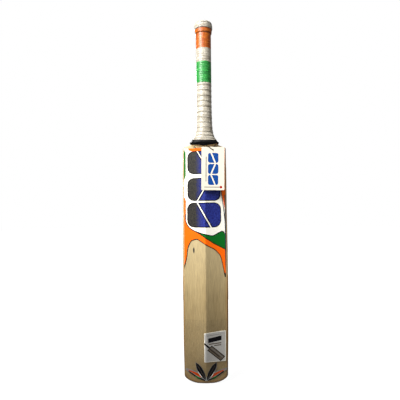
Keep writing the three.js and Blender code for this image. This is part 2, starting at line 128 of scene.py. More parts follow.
GRIP_START = 6
GRIP_END = 276.2
GRIP_INNER = 1.2
GRIP_OUTER = 2.9
CUFF_START = 266.4
RIB_SPACING = 12.8
RIB_TILT = 0.7
RIB_HEIGHT = 0.9
RIB_LIP = 0.12  # the share of the way between two ribs that the steep side takes
RIB_CROWDING = 3.5  # how many ribs more the foot of the grip has than an even spacing gives
CROWDING_REACH = 13
FINE_RINGS = 5.2
FINE_LINES = 6.2
CUFF_ROLL = 1.6
CUFF_BULGE = 1.5
CUFF_FLARE = 0.9
CAP_START = 276
CAP_GATHER = 278
CAP_FOLD = 290.8
CAP_CLEFT = -2.8
TAPE_FOOT = -0.6
TAPE_TOP = 9.6
TAPE_WRAPS = 3
ROUND_STEPS = 96  # facets round the handle
GREEN_BAND = 146
WHITE_BAND = 196.7
ORANGE_BAND = 229

STICKER_LIFT = 0.3
STICKER_THICKNESS = 0.35
FILM_THICKNESS = 0.25
FILM_TOP = 156
OVER_FILM = STICKER_LIFT + FILM_THICKNESS + 0.3
STICKER_TOP = 549.6
BADGE_LOW = 198
BADGE_HIGH = 255
BADGE_HALF_WIDTH = 11
BADGE_BAR_STEP = 18.4

TAG_HOLE = Vector((-19.5, 29.8, 543))
TAG_TILT = math.radians(1.7)
TAG_WIDTH = 52.6
TAG_HEIGHT = 99
TAG_HOLE_RADIUS = 2.2
TAG_THICKNESS = 0.8
TAG_HOLE_DROP = 7.3
TAG_TURN = math.radians(0.9)  # it hangs a little askew
TAG_PLATE_FOOT = 463
TAG_PLATE_STEP = 25.3
TAG_PLATE_HEIGHT = 23
STRAND_TOP = Vector((0, 28, 557.5))
STRAND_RADIUS = 0.9
CORD_OFFSET = 5  # of the loop's middle from the bare cane
CORD_PITCH = 3.2
PLY_STEPS = 12
PLY_WAIST = 0.62  # of two twisted plies, as a share of their radius


# ---------- the blade's surfaces


def outline_half_width(z):
    if z >= TOE_RISE:
        return HALF_WIDTH(z)
    drop = 1 - max(z, 0) / TOE_RISE
    return TOE_FLAT + (HALF_WIDTH(0) - TOE_FLAT) * (1 - drop * drop) ** (1 / TOE_ROUNDNESS)


def toe_height(x):
    across = max(0, abs(x) - TOE_FLAT) / (HALF_WIDTH(0) - TOE_FLAT)
    return TOE_RISE * (1 - math.sqrt(max(0, 1 - across**TOE_ROUNDNESS)))


def outline_distance(x, z):
    """How far a point lies inside the blade's outline."""
    across = max(0, outline_half_width(z) - abs(x))
    along = min(max(0, z - toe_height(x)), max(0, SHOULDER_LINE(abs(x)) - z))
    if across == 0 or along == 0:
        return 0
    return across * along / math.hypot(across, along)


def rounding(radius, distance):
    if distance >= radius:
        return 0
    return radius - math.sqrt(radius * radius - (radius - distance) ** 2)


def face_datum(z):
    share = min(max(z / BLADE_LENGTH, 0), 1)
    return FACE_Y + FACE_BOW * math.sin(math.pi * share**BOW_SKEW)


def face_y(x, z):
    camber = FACE_CAMBER * (x / HALF_WIDTH(z)) ** 2
    return face_datum(z) + camber + rounding(FACE_ROUNDING, outline_distance(x, z))


def back_y(x, z):
    softened = math.hypot(x, SPINE_SOFTNESS) - SPINE_SOFTNESS
    to_spine = max(0, 1 - softened / HALF_WIDTH(z))
    raised = SPINE_RISE(z) * to_spine**SPINE_SHARPNESS
    return face_datum(z) + EDGE_THICKNESS(z) + raised - rounding(BACK_ROUNDING, outline_distance(x, z))


def on_face(x, z, lift):
    return Vector((x, face_y(x, z) - lift, z))


def on_back(x, z, lift):
    return Vector((x, back_y(x, z) + lift, z))


def edge_middle(z):
    return face_datum(z) + EDGE_THICKNESS(z) * 0.51


# ---------- the handle's surface

HANDLE_FRAME = Matrix.Translation((0, HANDLE_Y, HANDLE_Z)) @ Matrix.Rotation(HANDLE_LEAN, 4, "X")


def on_handle(height, turn, offset):
    """A point round the handle's leaning axis, at an offset outside the bare cane."""
    across = (HANDLE_HALF_WIDTH(height) + offset) * math.cos(turn)
    deep = (HANDLE_HALF_DEPTH(height) + offset) * math.sin(turn)
    return HANDLE_FRAME @ Vector((across, deep, height))


# ---------- meshes


def make_piece(name, points, faces, materials, paints=None, sharp=35):
    """A mesh object from millimetre points. paints gives each face's material by its place in materials."""
    mesh = bpy.data.meshes.new(name)
    mesh.from_pydata([Vector(p) * MM for p in points], [], faces)
    for material in materials:
        mesh.materials.append(material)
    if paints:
        mesh.polygons.foreach_set("material_index", paints)
    clean(mesh, sharp)
    piece = bpy.data.objects.new(name, mesh)
    bpy.context.scene.collection.objects.link(piece)
    return piece


def clean(mesh, sharp):
    """Faces out, smooth shading, and a crease wherever the surface turns by more than sharp degrees."""
    limit = math.radians(sharp)
    shape = bmesh.new()
    shape.from_mesh(mesh)
    bmesh.ops.recalc_face_normals(shape, faces=shape.faces)
    for face in shape.faces:
        face.smooth = True
    for edge in shape.edges:
        edge.smooth = len(edge.link_faces) != 2 or edge.calc_face_angle(0) < limit
    shape.to_mesh(mesh)
    shape.free()


def add_shade(piece, name, values):
    """A value at each point of a piece, for its material to read."""
    shade = piece.data.attributes.new(name, "FLOAT", "POINT")
    shade.data.foreach_set("value", values)


def place(piece, body, slot, *nodes):
    """Rides the piece on its body, in place of the CAD nodes it stands for if there are any."""
    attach(piece, body)
    if nodes:
        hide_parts(*nodes)


def strip(near, far):
    """Quads between two rows of points."""
    return [(near[j], near[j + 1], far[j + 1], far[j]) for j in range(len(near) - 1)]


def loft_faces(rings, around, closed):
    """Quads between rings of so many points each. An open loft gets a face over each end."""
    faces = []
    for ring in range(rings if closed else rings - 1):
        low, high = ring * around, (ring + 1) % rings * around
        for i in range(around):
            after = (i + 1) % around
            faces.append((low + i, low + after, high + after, high + i))
    if not closed:
        faces.append(tuple(reversed(range(around))))
        faces.append(tuple(range((rings - 1) * around, rings * around)))
    return faces


def boolean(piece, cutter, operation):
    """Joins or cuts a piece by another, which is then deleted."""
    modifier = piece.modifiers.new("cut", "BOOLEAN")
    modifier.operation = operation
    modifier.solver = "EXACT"
    modifier.object = cutter
    shown = piece.evaluated_get(bpy.context.evaluated_depsgraph_get())
    made = bpy.data.meshes.new_from_object(shown)
    piece.modifiers.clear()
    piece.data = made
    bpy.data.objects.remove(cutter)
    return piece


def spline(points, steps, closed=False):
    """A Catmull-Rom curve through the points, with so many steps between each pair."""
    points = [Vector(p) for p in points]
    count = len(points)
    spans = count if closed else count - 1

    def at(i):
        return points[i % count] if closed else points[min(max(i, 0), count - 1)]

    curve = []
    for i in range(spans):
        a, b, c, d = at(i - 1), at(i), at(i + 1), at(i + 2)
        for k in range(steps):
            t = k / steps
            curve.append(
                0.5 * (2 * b + (c - a) * t + (2 * a - 5 * b + 4 * c - d) * t * t
                       + (3 * b - a - 3 * c + d) * t**3)
            )
    if not closed:
        curve.append(points[-1].copy())
    return curve


# ---------- flat art: outlines and painted zones


def anticlockwise(outline):
    area = sum(a[0] * b[1] - b[0] * a[1] for a, b in zip(outline, outline[1:] + outline[:1]))
    return outline if area > 0 else outline[::-1]


def box(left, low, right, high):
    return [(left, low), (right, low), (right, high), (left, high)]


def rounded(left, low, right, high, radius, steps=6):
    """A rectangle with rounded corners. One step cuts them straight."""
    corners = [
        (right - radius, low + radius, -90), (right - radius, high - radius, 0),
        (left + radius, high - radius, 90), (left + radius, low + radius, 180),
    ]
    outline = []
    for x, z, start in corners:
        for k in range(steps + 1):
            turn = math.radians(start + 90 * k / steps)
            outline.append((x + radius * math.cos(turn), z + radius * math.sin(turn)))
    return outline


def disc(x, z, radius, steps=20):
    return [(x + radius * math.cos(turn), z + radius * math.sin(turn)) for turn in turns_round(steps)]


def curve2(points, steps=4):
    return [(p.x, p.y) for p in spline([(x, z, 0) for x, z in points], steps)]


def grown(outline, distance):
    """The outline moved outwards, corner by corner."""
    outline = anticlockwise(outline)
    moved = []
    for i, here in enumerate(outline):
        before, after = Vector(outline[i - 1]), Vector(outline[(i + 1) % len(outline)])
        here = Vector(here)
        into, out = (here - before).normalized(), (after - here).normalized()
        normal = Vector((into.y + out.y, -into.x - out.x))
        reach = distance / max(0.3, normal.length_squared / 2)
        moved.append(tuple(here + normal * reach))
    return moved


def stroke(points, width):
    """A line of some width along the points."""
    points = [Vector(p) for p in points]
    sides = ([], [])
    for i, here in enumerate(points):
        along = (points[min(i + 1, len(points) - 1)] - points[max(i - 1, 0)]).normalized()
        across = Vector((-along.y, along.x)) * (width / 2)
        sides[0].append(tuple(here - across))
        sides[1].append(tuple(here + across))
    return sides[0] + sides[1][::-1]


def art_shell(name, outline, zones, guides, surface, lift, thickness, looks, base="white"):
    """A thin sheet over a surface, cut to an outline and painted in zones, where later zones cover earlier
    ones and a zone painted None is a hole. guides are the xs and zs where the sheet follows the surface."""
    xs, zs = guides
    outlines = [anticlockwise(shape) for shape in [outline] + [zone for _, zone in zones]]
    points, edges, faces = [], [], []
    for shape in outlines:
        faces.append(list(range(len(points), len(points) + len(shape))))
        points += [Vector(p) for p in shape]
    low, high = min(z for _, z in outline) - 1, max(z for _, z in outline) + 1
    left, right = min(x for x, _ in outline) - 1, max(x for x, _ in outline) + 1
    cuts = [((x, low), (x, high)) for x in xs] + [((left, z), (right, z)) for z in zs]
    for start, end in cuts:
        edges.append((len(points), len(points) + 1))
        points += [Vector(start), Vector(end)]
    flat, _, triangles, _, _, sources = delaunay_2d_cdt(points, edges, faces, 1, 1e-4)

    names = sorted({paint for paint, _ in zones if paint} | {base})
    kept, paints = [], []
    for triangle, source in zip(triangles, sources):
        paint = base if max(source, default=0) == 0 else zones[max(source) - 1][0]
        if 0 in source and paint:
            kept.append(tuple(triangle))
            paints.append(names.index(paint))
    used = sorted({v for triangle in kept for v in triangle})
    new = {v: i for i, v in enumerate(used)}
    count = len(used)
    solid = [surface(flat[v].x, flat[v].y, lift + thickness) for v in used]
    solid += [surface(flat[v].x, flat[v].y, lift) for v in used]
    top = [tuple(new[v] for v in triangle) for triangle in kept]
    sides = {(t[k], t[(k + 1) % 3]) for t in top for k in range(3)}
    rim = [(a, a + count, b + count, b) for a, b in sides if (b, a) not in sides]
    under = [tuple(v + count for v in reversed(triangle)) for triangle in top]
    plain = names.index(base)
    paints += [plain] * (len(under) + len(rim))
    return make_piece(name, solid, top + under + rim, [looks[paint] for paint in names], paints)


def steps_between(low, high, step):
    count = max(1, round((high - low) / step))
    return [low + (high - low) * (i + 0.5) / count for i in range(count)]


def both_sides(*places):
    return [x * side for side in (-1, 1) for x in places]


CREST_XS = (0, 0.6, 1.2, 2.4, 4.5)
BACK_XS = [-x for x in CREST_XS[1:]] + [*CREST_XS] + both_sides(10, 16, 22, 28, 34, 40, 44, 46.5, 48.2)
FACE_XS = both_sides(6, 15, 24, 33, 40, 44, 45.5, 46.7, 47.6, 48.4)


# ---------- materials


def srgb(red, green, blue):
    """A display colour out of 255 as the linear colour that the shaders use."""
    parts = [c / 255 for c in (red, green, blue)]
    return (*(c / 12.92 if c <= 0.04045 else ((c + 0.055) / 1.055) ** 2.4 for c in parts), 1)


def linear(colour):
    """The shaders' colour for a grey from 0 to 1, a display colour out of 255, or one already linear."""
    if not isinstance(colour, tuple):
        return (colour, colour, colour, 1)
    return srgb(*colour) if len(colour) == 3 else colour


def shaded(colour, share):
    """A colour at some share of its brightness."""
    return (*(c * share for c in linear(colour)[:3]), 1)


class Shader:
    """A Principled material with short calls for its nodes. Textures are read in the object's own metres."""

    def __init__(self, name, roughness=0.5):
        self.material = bpy.data.materials.new(name)
        self.material.use_nodes = True
        self.tree = self.material.node_tree
        self.out = self.tree.nodes["Principled BSDF"]
        self.out.inputs["Roughness"].default_value = roughness
        self.where = self.tree.nodes.new("ShaderNodeTexCoord").outputs["Object"]

    def feed(self, socket, value):
        if isinstance(value, bpy.types.NodeSocket):
            self.tree.links.new(value, socket)
        else:
            socket.default_value = linear(value) if socket.type == "RGBA" else value

    def node(self, kind, result, settings=None, **inputs):
        made = self.tree.nodes.new(kind)
        for name, value in (settings or {}).items():
            setattr(made, name, value)
        for name, value in inputs.items():
            key = int(name[1:]) if name[1:].isdigit() else name.replace("_", " ")
            self.feed(made.inputs[key], value)
        return made.outputs[result]

    def math(self, operation, first, second=0):
        return self.node("ShaderNodeMath", 0, {"operation": operation}, i0=first, i1=second)

    def plus(self, first, second):
        return self.math("ADD", first, second)

    def times(self, first, second):
        return self.math("MULTIPLY", first, second)

    def slide(self, value, start, end, first, last):
        """Goes from first to last as the value goes from start to end."""
        return self.node("ShaderNodeMapRange", 0, i0=value, i1=start, i2=end, i3=first, i4=last)

    def stretched(self, scale):
        return self.node("ShaderNodeMapping", 0, Vector=self.where, Scale=scale)

    def grain(self, scale, detail=3, roughness=0.55, distortion=0):
        """Noise about 0.5 whose lumps are about 1 / scale metres long on each axis."""
        place = self.stretched(scale if isinstance(scale, tuple) else (scale,) * 3)
        return self.node(
            "ShaderNodeTexNoise", 0, Vector=place, Scale=1, Detail=detail, Roughness=roughness,
            Distortion=distortion,
        )

    def axis(self, letter):
        return self.node("ShaderNodeSeparateXYZ", letter, Vector=self.where)

    def ramp(self, value, *stops):
        made = self.tree.nodes.new("ShaderNodeValToRGB")
        elements = made.color_ramp.elements
        while len(elements) < len(stops):
            elements.new(0.5)
        for element, (position, colour) in zip(elements, stops):
            element.position = position
            element.color = linear(colour)
        self.feed(made.inputs[0], value)
        return made.outputs[0]

    def blend(self, factor, first, second, mode="MIX"):
        made = self.tree.nodes.new("ShaderNodeMix")
        made.data_type = "RGBA"
        made.blend_type = mode
        self.feed(made.inputs[0], factor)
        self.feed(made.inputs[6], first)
        self.feed(made.inputs[7], second)
        return made.outputs[2]

    def attribute(self, name):
        made = self.tree.nodes.new("ShaderNodeAttribute")
        made.attribute_name = name
        return made.outputs["Fac"]

    def spot(self, place, reach):
        """1 inside a small ellipsoid, given by its middle and its half lengths in millimetres."""
        scale = [1 / (r * MM) for r in reach]
        middle = [p * MM * k for p, k in zip(place, scale)]
        away = self.node(
            "ShaderNodeVectorMath", 1, {"operation": "DISTANCE"}, i0=self.stretched(scale), i1=middle,
        )
        return self.ramp(away, (0.6, 1), (0.95, 0))

    def set(self, **inputs):
        for name, value in inputs.items():
            self.feed(self.out.inputs[name.replace("_", " ")], value)

    def bumped(self, height, depth):
        """The material, with a bump of so many millimetres between the height's 0 and 1."""
        made = self.node("ShaderNodeBump", 0, Height=height, Distance=depth * MM, Strength=1)
        self.feed(self.out.inputs["Normal"], made)
        return self.material


RING_SPACING = 8.8
PIN_KNOTS = (  # middles and half lengths of the dark spots in the willow
    ((26.5, 31, 314), (2.4, 12, 8.5)),
    ((-35.5, -8, 296.5), (2.4, 8, 8.5)),
    ((51.9, 8, 114.5), (4, 2.4, 11)),
)


def willow_wood():
    """Bleached willow: straight growth rings along the blade, fine fibres, flecks, browner rims that are
    partly wear and partly painted shade, painted light up the blade and painted shade towards the toe.
    """
    s = Shader("willow_wood")
    wander = s.grain((14, 14, 2.2), 2)
    across = s.plus(s.axis("X"), s.times(s.axis("Y"), 0.45))
    across = s.plus(across, s.times(wander, 0.024))
    ring = s.math("FRACT", s.math("DIVIDE", across, RING_SPACING * MM))
    rings = s.ramp(ring, (0, 0.62), (0.7, 0.30), (0.9, 0), (1, 0.62))
    fibres = s.grain((1100, 900, 36), 5, 0.7)
    slivers = s.grain((520, 520, 7), 4, 0.6)
    clouds = s.grain((26, 26, 7), 3)
    flecks = s.ramp(s.grain((900, 900, 120), 2), (0, 1), (0.30, 1), (0.36, 0), (1, 0))

    colour = s.ramp(slivers, (0.30, (142, 121, 80)), (0.70, (174, 154, 110)))
    colour = s.blend(s.times(rings, 0.2), colour, (118, 94, 56))
    colour = s.blend(0.4, colour, s.ramp(clouds, (0.3, (138, 117, 76)), (0.7, (172, 152, 109))))
    colour = s.blend(0.75, colour, s.ramp(fibres, (0.3, 0.26), (0.7, 0.70)), "OVERLAY")
    colour = s.blend(s.times(flecks, 0.25), colour, (98, 72, 42))
    # Browner, darker rims: partly wear, and partly painted shade on the shaded side and round the toe.
    rim = s.attribute("rim")
    colour = s.blend(s.ramp(rim, (0, 0), (0.35, 0.85)), colour, (158, 118, 62))
    worn_and_shaded = s.times(s.ramp(rim, (0.5, 0), (0.9, 1)), s.ramp(clouds, (0.3, 0.7), (0.7, 1)))
    colour = s.blend(worn_and_shaded, colour, (66, 38, 12))
    # Painted light: paler wood higher up the blade.
    colour = s.blend(s.slide(s.axis("Z"), 0.2, 0.33, 0, 0.32), colour, (196, 178, 136))
    # Painted shade: darker wood towards the toe.
    colour = s.blend(s.slide(s.axis("Z"), 0, 0.24, 0.68, 0), colour, (94, 73, 40))
    for middle, reach in PIN_KNOTS:
        colour = s.blend(s.spot(middle, reach), colour, (6, 4, 3))
    s.set(Base_Color=colour, Roughness=s.ramp(fibres, (0.2, 0.42), (0.8, 0.6)))
    s.set(Coat_Weight=0.12, Coat_Roughness=0.3)
    return s.bumped(s.plus(fibres, s.times(slivers, 0.7)), 0.09)


def cane_wood():
    """Split cane: straw colour with dark vessels along the handle."""
    s = Shader("cane_wood", 0.6)
    vessels = s.ramp(s.grain((1400, 1400, 30), 2), (0.3, 1), (0.42, 0))
    tone = s.ramp(s.grain((160, 160, 6)), (0.3, (196, 160, 102)), (0.7, (226, 198, 146)))
    s.set(Base_Color=s.blend(s.times(vessels, 0.6), tone, (116, 78, 40)))
    return s.bumped(vessels, -0.08)


def sheet_rubber():
    s = Shader("sheet_rubber", 0.85)
    dust = s.grain(900, 4)
    s.set(Base_Color=s.ramp(dust, (0.3, (34, 33, 32)), (0.75, (64, 62, 59))))
    return s.bumped(dust, 0.06)


def bound_twine():
    """Glued thread wound round the cane, one turn every millimetre."""
    s = Shader("bound_twine", 0.8)
    turns = s.math("SINE", s.times(s.axis("Z"), 2 * math.pi / MM))
    fluff = s.grain(1800, 4)
    s.set(Base_Color=s.ramp(fluff, (0.3, (205, 196, 172)), (0.7, (238, 232, 216))))
    return s.bumped(s.plus(turns, fluff), 0.12)


def grip_rubber(name, dark, light):
    """Tacky grip rubber: fine strands round the handle, pimples, a rubbed sheen, patchy grime and painted
    shade in the dark lines under the ribs.
    """
    s = Shader(name)
    strands = s.grain((30, 30, 560), 4, 0.65)
    specks = s.grain(330, 4, 0.85)
    grime = s.grain((60, 60, 90), 3)
    colour = s.ramp(strands, (0.36, dark), (0.58, light))
    colour = s.blend(s.ramp(specks, (0.40, 0.6), (0.54, 0)), colour, dark)
    colour = s.blend(s.ramp(grime, (0.35, 0.3), (0.6, 0)), colour, dark)
    # Painted shade in the dark lines under the ribs and in the cap's folds, from a value stored at each
    # point.
    colour = s.blend(s.attribute("groove_shade"), colour, shaded(dark, 0.14))
    s.set(Base_Color=colour, Roughness=s.ramp(specks, (0.3, 0.2), (0.7, 0.5)))
    s.set(Specular_IOR_Level=0.4, Coat_Weight=0.12, Coat_Roughness=0.2)
    return s.bumped(s.plus(s.times(strands, 0.7), s.times(specks, 1.5)), 0.42)


def black_tape():
    """Electrical tape: stretched, with fine creases across the wraps."""
    s = Shader("black_tape", 0.5)
    creases = s.grain((240, 240, 900), 4, 0.6, 0.6)
    dust = s.ramp(s.grain(500, 4), (0.6, 0), (0.8, 0.15))
    colour = s.ramp(creases, (0.25, (3, 3, 4)), (0.8, (18, 18, 19)))
    s.set(Base_Color=s.blend(dust, colour, (60, 57, 53)), Specular_IOR_Level=0.12)
    s.set(Roughness=s.ramp(creases, (0.3, 0.38), (0.7, 0.6)))
    return s.bumped(creases, 0.35)


def vinyl(name, colour, gloss=0.5):
    """Printed vinyl: ink that varies a little, a film of handling marks and a slight orange peel."""
    s = Shader(name)
    ink = s.grain(340, 4, 0.6)
    marks = s.grain((55, 55, 38), 5, 0.65)
    tone = s.blend(s.ramp(ink, (0.3, 0.3), (0.7, 0)), colour, shaded(colour, 0.7))
    s.set(Base_Color=s.blend(s.ramp(marks, (0.4, 0.35), (0.62, 0)), tone, shaded(colour, 0.8)))
    s.set(Roughness=s.ramp(marks, (0.35, gloss + 0.12), (0.65, gloss)), Specular_IOR_Level=0.1)
    return s.bumped(s.plus(s.grain(1300, 2), s.times(ink, 0.5)), 0.025)


def fading_ink(name, start, end):
    """Mottled ink that fades across the blade: charcoal to blue between two places on the X axis."""
    s = Shader(name)
    mottle = s.grain((420, 420, 260), 5, 0.7)
    across = s.plus(s.axis("X"), s.times(mottle, 0.036))
    charcoal = s.ramp(mottle, (0.35, (20, 20, 21)), (0.65, (54, 51, 44)))
    blue = s.ramp(mottle, (0.35, (16, 16, 76)), (0.65, (40, 54, 138)))
    s.set(Base_Color=s.blend(s.slide(across, start * MM, end * MM, 0, 1), charcoal, blue))
    s.set(Roughness=s.ramp(mottle, (0.3, 0.58), (0.7, 0.44)), Specular_IOR_Level=0.15)
    return s.bumped(mottle, 0.03)


def clear_film():
    s = Shader("clear_film", 0.16)
    haze = s.grain((240, 240, 120), 4, 0.6)
    s.set(Base_Color=s.ramp(haze, (0.3, (120, 112, 94)), (0.7, (160, 152, 132))), Alpha=0.025)
    s.set(Roughness=s.ramp(haze, (0.3, 0.4), (0.7, 0.55)), Specular_IOR_Level=0.1)
    return s.bumped(haze, 0.06)


def silver_card():
    """Metallised label stock with a brushed shimmer."""
    s = Shader("silver_card", 0.36)
    brushed = s.grain((1500, 1500, 40), 3)
    s.set(Base_Color=s.ramp(brushed, (0.3, (158, 155, 149)), (0.7, (192, 189, 183))))
    s.set(Metallic=0.25, Roughness=s.ramp(brushed, (0.3, 0.28), (0.7, 0.44)))
    return s.bumped(brushed, 0.02)


def cord_yarn():
    s = Shader("cord_yarn", 0.85)
    fuzz = s.grain((3200, 3200, 1500), 4, 0.7)
    s.set(Base_Color=s.ramp(fuzz, (0.3, (6, 6, 7)), (0.75, (22, 21, 21))), Specular_IOR_Level=0.1)
    return s.bumped(fuzz, 0.12)


def coated_card(name, colour):
    s = Shader(name)
    pulp = s.grain(700, 5, 0.65)
    marks = s.grain(45, 4)
    s.set(Base_Color=s.blend(s.ramp(pulp, (0.35, 0.6), (0.65, 0)), colour, shaded(colour, 0.86)))
    s.set(Roughness=s.ramp(marks, (0.3, 0.5), (0.7, 0.62)), Specular_IOR_Level=0.15)
    return s.bumped(pulp, 0.02)


VINYL_INKS = {
    "white": (240, 236, 222), "orange": (240, 100, 3), "rust": (172, 60, 6), "green": (3, 98, 26),
    "black": (7, 7, 11), "grey": (120, 118, 114), "brown": (92, 82, 70), "slate": (40, 48, 64),
    "beige": (204, 184, 146),
}
CARD_INKS = {"blue": (0, 60, 130), "grey": (76, 76, 74), "red": (150, 26, 10)}


def make_materials():
    looks = {
        "willow": willow_wood(),
        "cane": cane_wood(),
        "insert": sheet_rubber(),
        "twine": bound_twine(),
        "grip_white": grip_rubber("grip_white", (138, 129, 112), (196, 189, 174)),
        "grip_green": grip_rubber("grip_green", (10, 92, 34), (52, 160, 66)),
        "grip_orange": grip_rubber("grip_orange", (140, 55, 0), (192, 103, 12)),
        "tape": black_tape(),
        "face_ink": fading_ink("face_ink", 12, -4),
        "back_ink": fading_ink("back_ink", 39, 25),
        "film": clear_film(),
        "silver": silver_card(),
        "yarn": cord_yarn(),
        "card": coated_card("coated_card", (212, 205, 188)),
    }
    for ink, colour in VINYL_INKS.items():
        looks[ink] = vinyl(f"vinyl_{ink}", colour, 0.6 if ink == "black" else 0.5)
    for ink, colour in CARD_INKS.items():
        looks[f"card_{ink}"] = coated_card(f"card_{ink}", colour)
    return looks


# ---------- blade


def rounding_steps():
    """Distances inside the outline that follow the rounded corner in steps of 15 degrees."""
    return [FACE_ROUNDING * (1 - math.cos(math.radians(15 * k))) for k in range(7)]


def half_shares():
    """Places across half the blade as shares of its half width: dense at the crest and the rounded edge."""
    half = HALF_WIDTH(200)
    crest = [x / half for x in CREST_XS]
    edge = [1 - inside / half for inside in reversed(rounding_steps())]
    steps = 14
    middle = [crest[-1] + (edge[0] - crest[-1]) * k / steps for k in range(1, steps)]
    return crest + middle + edge


def blade_heights(low, high):
    """Heights up one column of the blade: dense at the rounded ends, and closer towards the toe."""
    ends = rounding_steps()
    steps = 150
    bottom, top = low + ends[-1], high - ends[-1]
    middle = [bottom + (top - bottom) * (k / steps) ** 1.2 for k in range(1, steps)]
    return [low + d for d in ends] + middle + [high - d for d in reversed(ends)]


# How dark the wood's rim is at a distance inside the blade's outline, partly wear and partly painted shade:
# most at the corners, little on the edge faces. The painted shade reaches further in on the -X side and round
# the toe.
CORNER_WEAR_AND_SHADE = profile((0, 0.08), (0.15, 0.6), (0.5, 1), (1.2, 0.9), (3.6, 0))
SHADED_TOE_HEIGHT = 24
RIM_WEAR_AND_SHADE_UP_BLADE = profile((150, 1), (330, 0.42))


def blade_body(looks):
    """The willow as two height fields, the face and the back, joined round the outline."""
    halves = half_shares()
    shares = [-s for s in reversed(halves[1:])] + halves
    points, rims, sheets = [], [], []
    for surface in (face_y, back_y):
        sheet = []
        for share in shares:
            low = toe_height(share * HALF_WIDTH(0))
            high = SHOULDER_LINE(abs(share) * HALF_WIDTH(BLADE_LENGTH))
            heights = blade_heights(low, high)
            sheet.append(range(len(points), len(points) + len(heights)))
            for z in heights:
                x = share * HALF_WIDTH(z)
                points.append((x, surface(x, z), z))
                # Painted shade: the rim reaches further in round the toe and on the -X side.
                spread = 0.4 if z < SHADED_TOE_HEIGHT else 0.6 if x < 0 else 1
                rims.append(CORNER_WEAR_AND_SHADE(outline_distance(x, z) * spread) * RIM_WEAR_AND_SHADE_UP_BLADE(z))
        sheets.append(sheet)
    face, back = sheets
    faces = strip(face[0], back[0]) + strip(face[-1], back[-1])
    for sheet in sheets:
        for near, far in zip(sheet, sheet[1:]):
            faces += strip(near, far)
    for end in (0, -1):
        faces += strip([column[end] for column in face], [column[end] for column in back])
    blade = make_piece("blade_body", points, faces, [looks["willow"]])
    add_shade(blade, "rim", rims)
    return blade


def handle_root():
    """The flare of the handle's foot, which the shoulders sweep up to meet."""
    heights = [-8, -4, 0, 2, 4, 7, 10, 14, 18, 22]
    points = [on_handle(height, turn, 0) for height in heights for turn in turns_round(ROUND_STEPS)]
    return make_piece("handle_root", points, loft_faces(len(heights), ROUND_STEPS, False), [])


def splice_vee():
    """The V-shaped slot that the cane handle is let into, right through the blade."""
    spread = (SPLICE_TOP_HALF - SPLICE_TIP_HALF) / (SPLICE_TOP_Z - SPLICE_TIP_Z)
    low, high = SPLICE_TIP_Z - GLUE_GAP, 900  # well above the blade
    half_low = SPLICE_TIP_HALF + GLUE_GAP * (1 - spread)
    half_high = SPLICE_TIP_HALF + (high - SPLICE_TIP_Z) * spread + GLUE_GAP
    corners = [(-half_low, low), (half_low, low), (half_high, high), (-half_high, high)]
    points = [(x, y, z) for y in (-80, 80) for x, z in corners]
    return make_piece("splice_vee", points, loft_faces(2, 4, False), [])


def willow_blade(looks):
    blade = boolean(blade_body(looks), handle_root(), "UNION")
    blade = boolean(blade, splice_vee(), "DIFFERENCE")
    clean(blade.data, 35)
    blade.name = "willow_blade"
    place(blade, "bat", "willow", "blade")


# ---------- grip, collar and cap


def rib_rise(height, turn):
    """How far up between two of the grip's ribs a place is, 0 to 1. The ribs close up towards the foot."""
    level = height - RIB_TILT * math.cos(turn)
    crowding = RIB_CROWDING * math.exp(-level / CROWDING_REACH)
    return (level / RIB_SPACING + 0.11 - crowding + 0.07 * ripple(turn, height, 1.2, 11)) % 1


def groove_shade(height, turn):
    """Painted shade on the grip: 1 in the dark line under each of the grip's ribs, less in the fine lines
    between, and dark also at the cuff's foot and the grip's top edge.
    """
    if height > GREEN_BAND:
        ring = (height / FINE_LINES + 0.3 * ripple(turn, height, 1, 8)) % 1
        broken = 0.6 + 1.2 * ripple(turn, height, 5, 3)
        depth = 0.5 * broken * tent(ring, 0.5, 0.2)
    else:
        rise = rib_rise(height, turn)
        depth = max(0.52 * tent(rise, 0.04, 0.06), 0.26 * tent(rise * 3 % 1, 0.5, 0.22))
    return clamp(max(depth, 0.9 * tent(height, CUFF_START, 1.4), tent(height, GRIP_END, 0.8)))


def rib(height, turn):
    """How far the grip's outside stands off its plain radius: level ribs low down, faint rings above."""
    if height >= GREEN_BAND:
        return 0.14 * math.sin(2 * math.pi * height / FINE_RINGS) + 0.12 * ripple(turn, height, 3, 6)
    rise = rib_rise(height, turn)
    step = 1 - rise if rise > RIB_LIP else (1 - RIB_LIP) * rise / RIB_LIP
    under_tape = clamp((height - 9) / 6)
    return under_tape * RIB_HEIGHT * (step - 0.55)


def grip_offset(height, turn):
    rolled = (height - CUFF_START) / CUFF_ROLL
    if rolled <= 0:
        return GRIP_OUTER + rib(height, turn)
    bulge = math.sqrt(1 - (1 - min(rolled, 1)) ** 2)
    flare = (height - CUFF_START) / (GRIP_END - CUFF_START)
    return GRIP_OUTER + CUFF_BULGE * bulge + CUFF_FLARE * flare + 0.18 * ripple(turn, height, 2, 5)


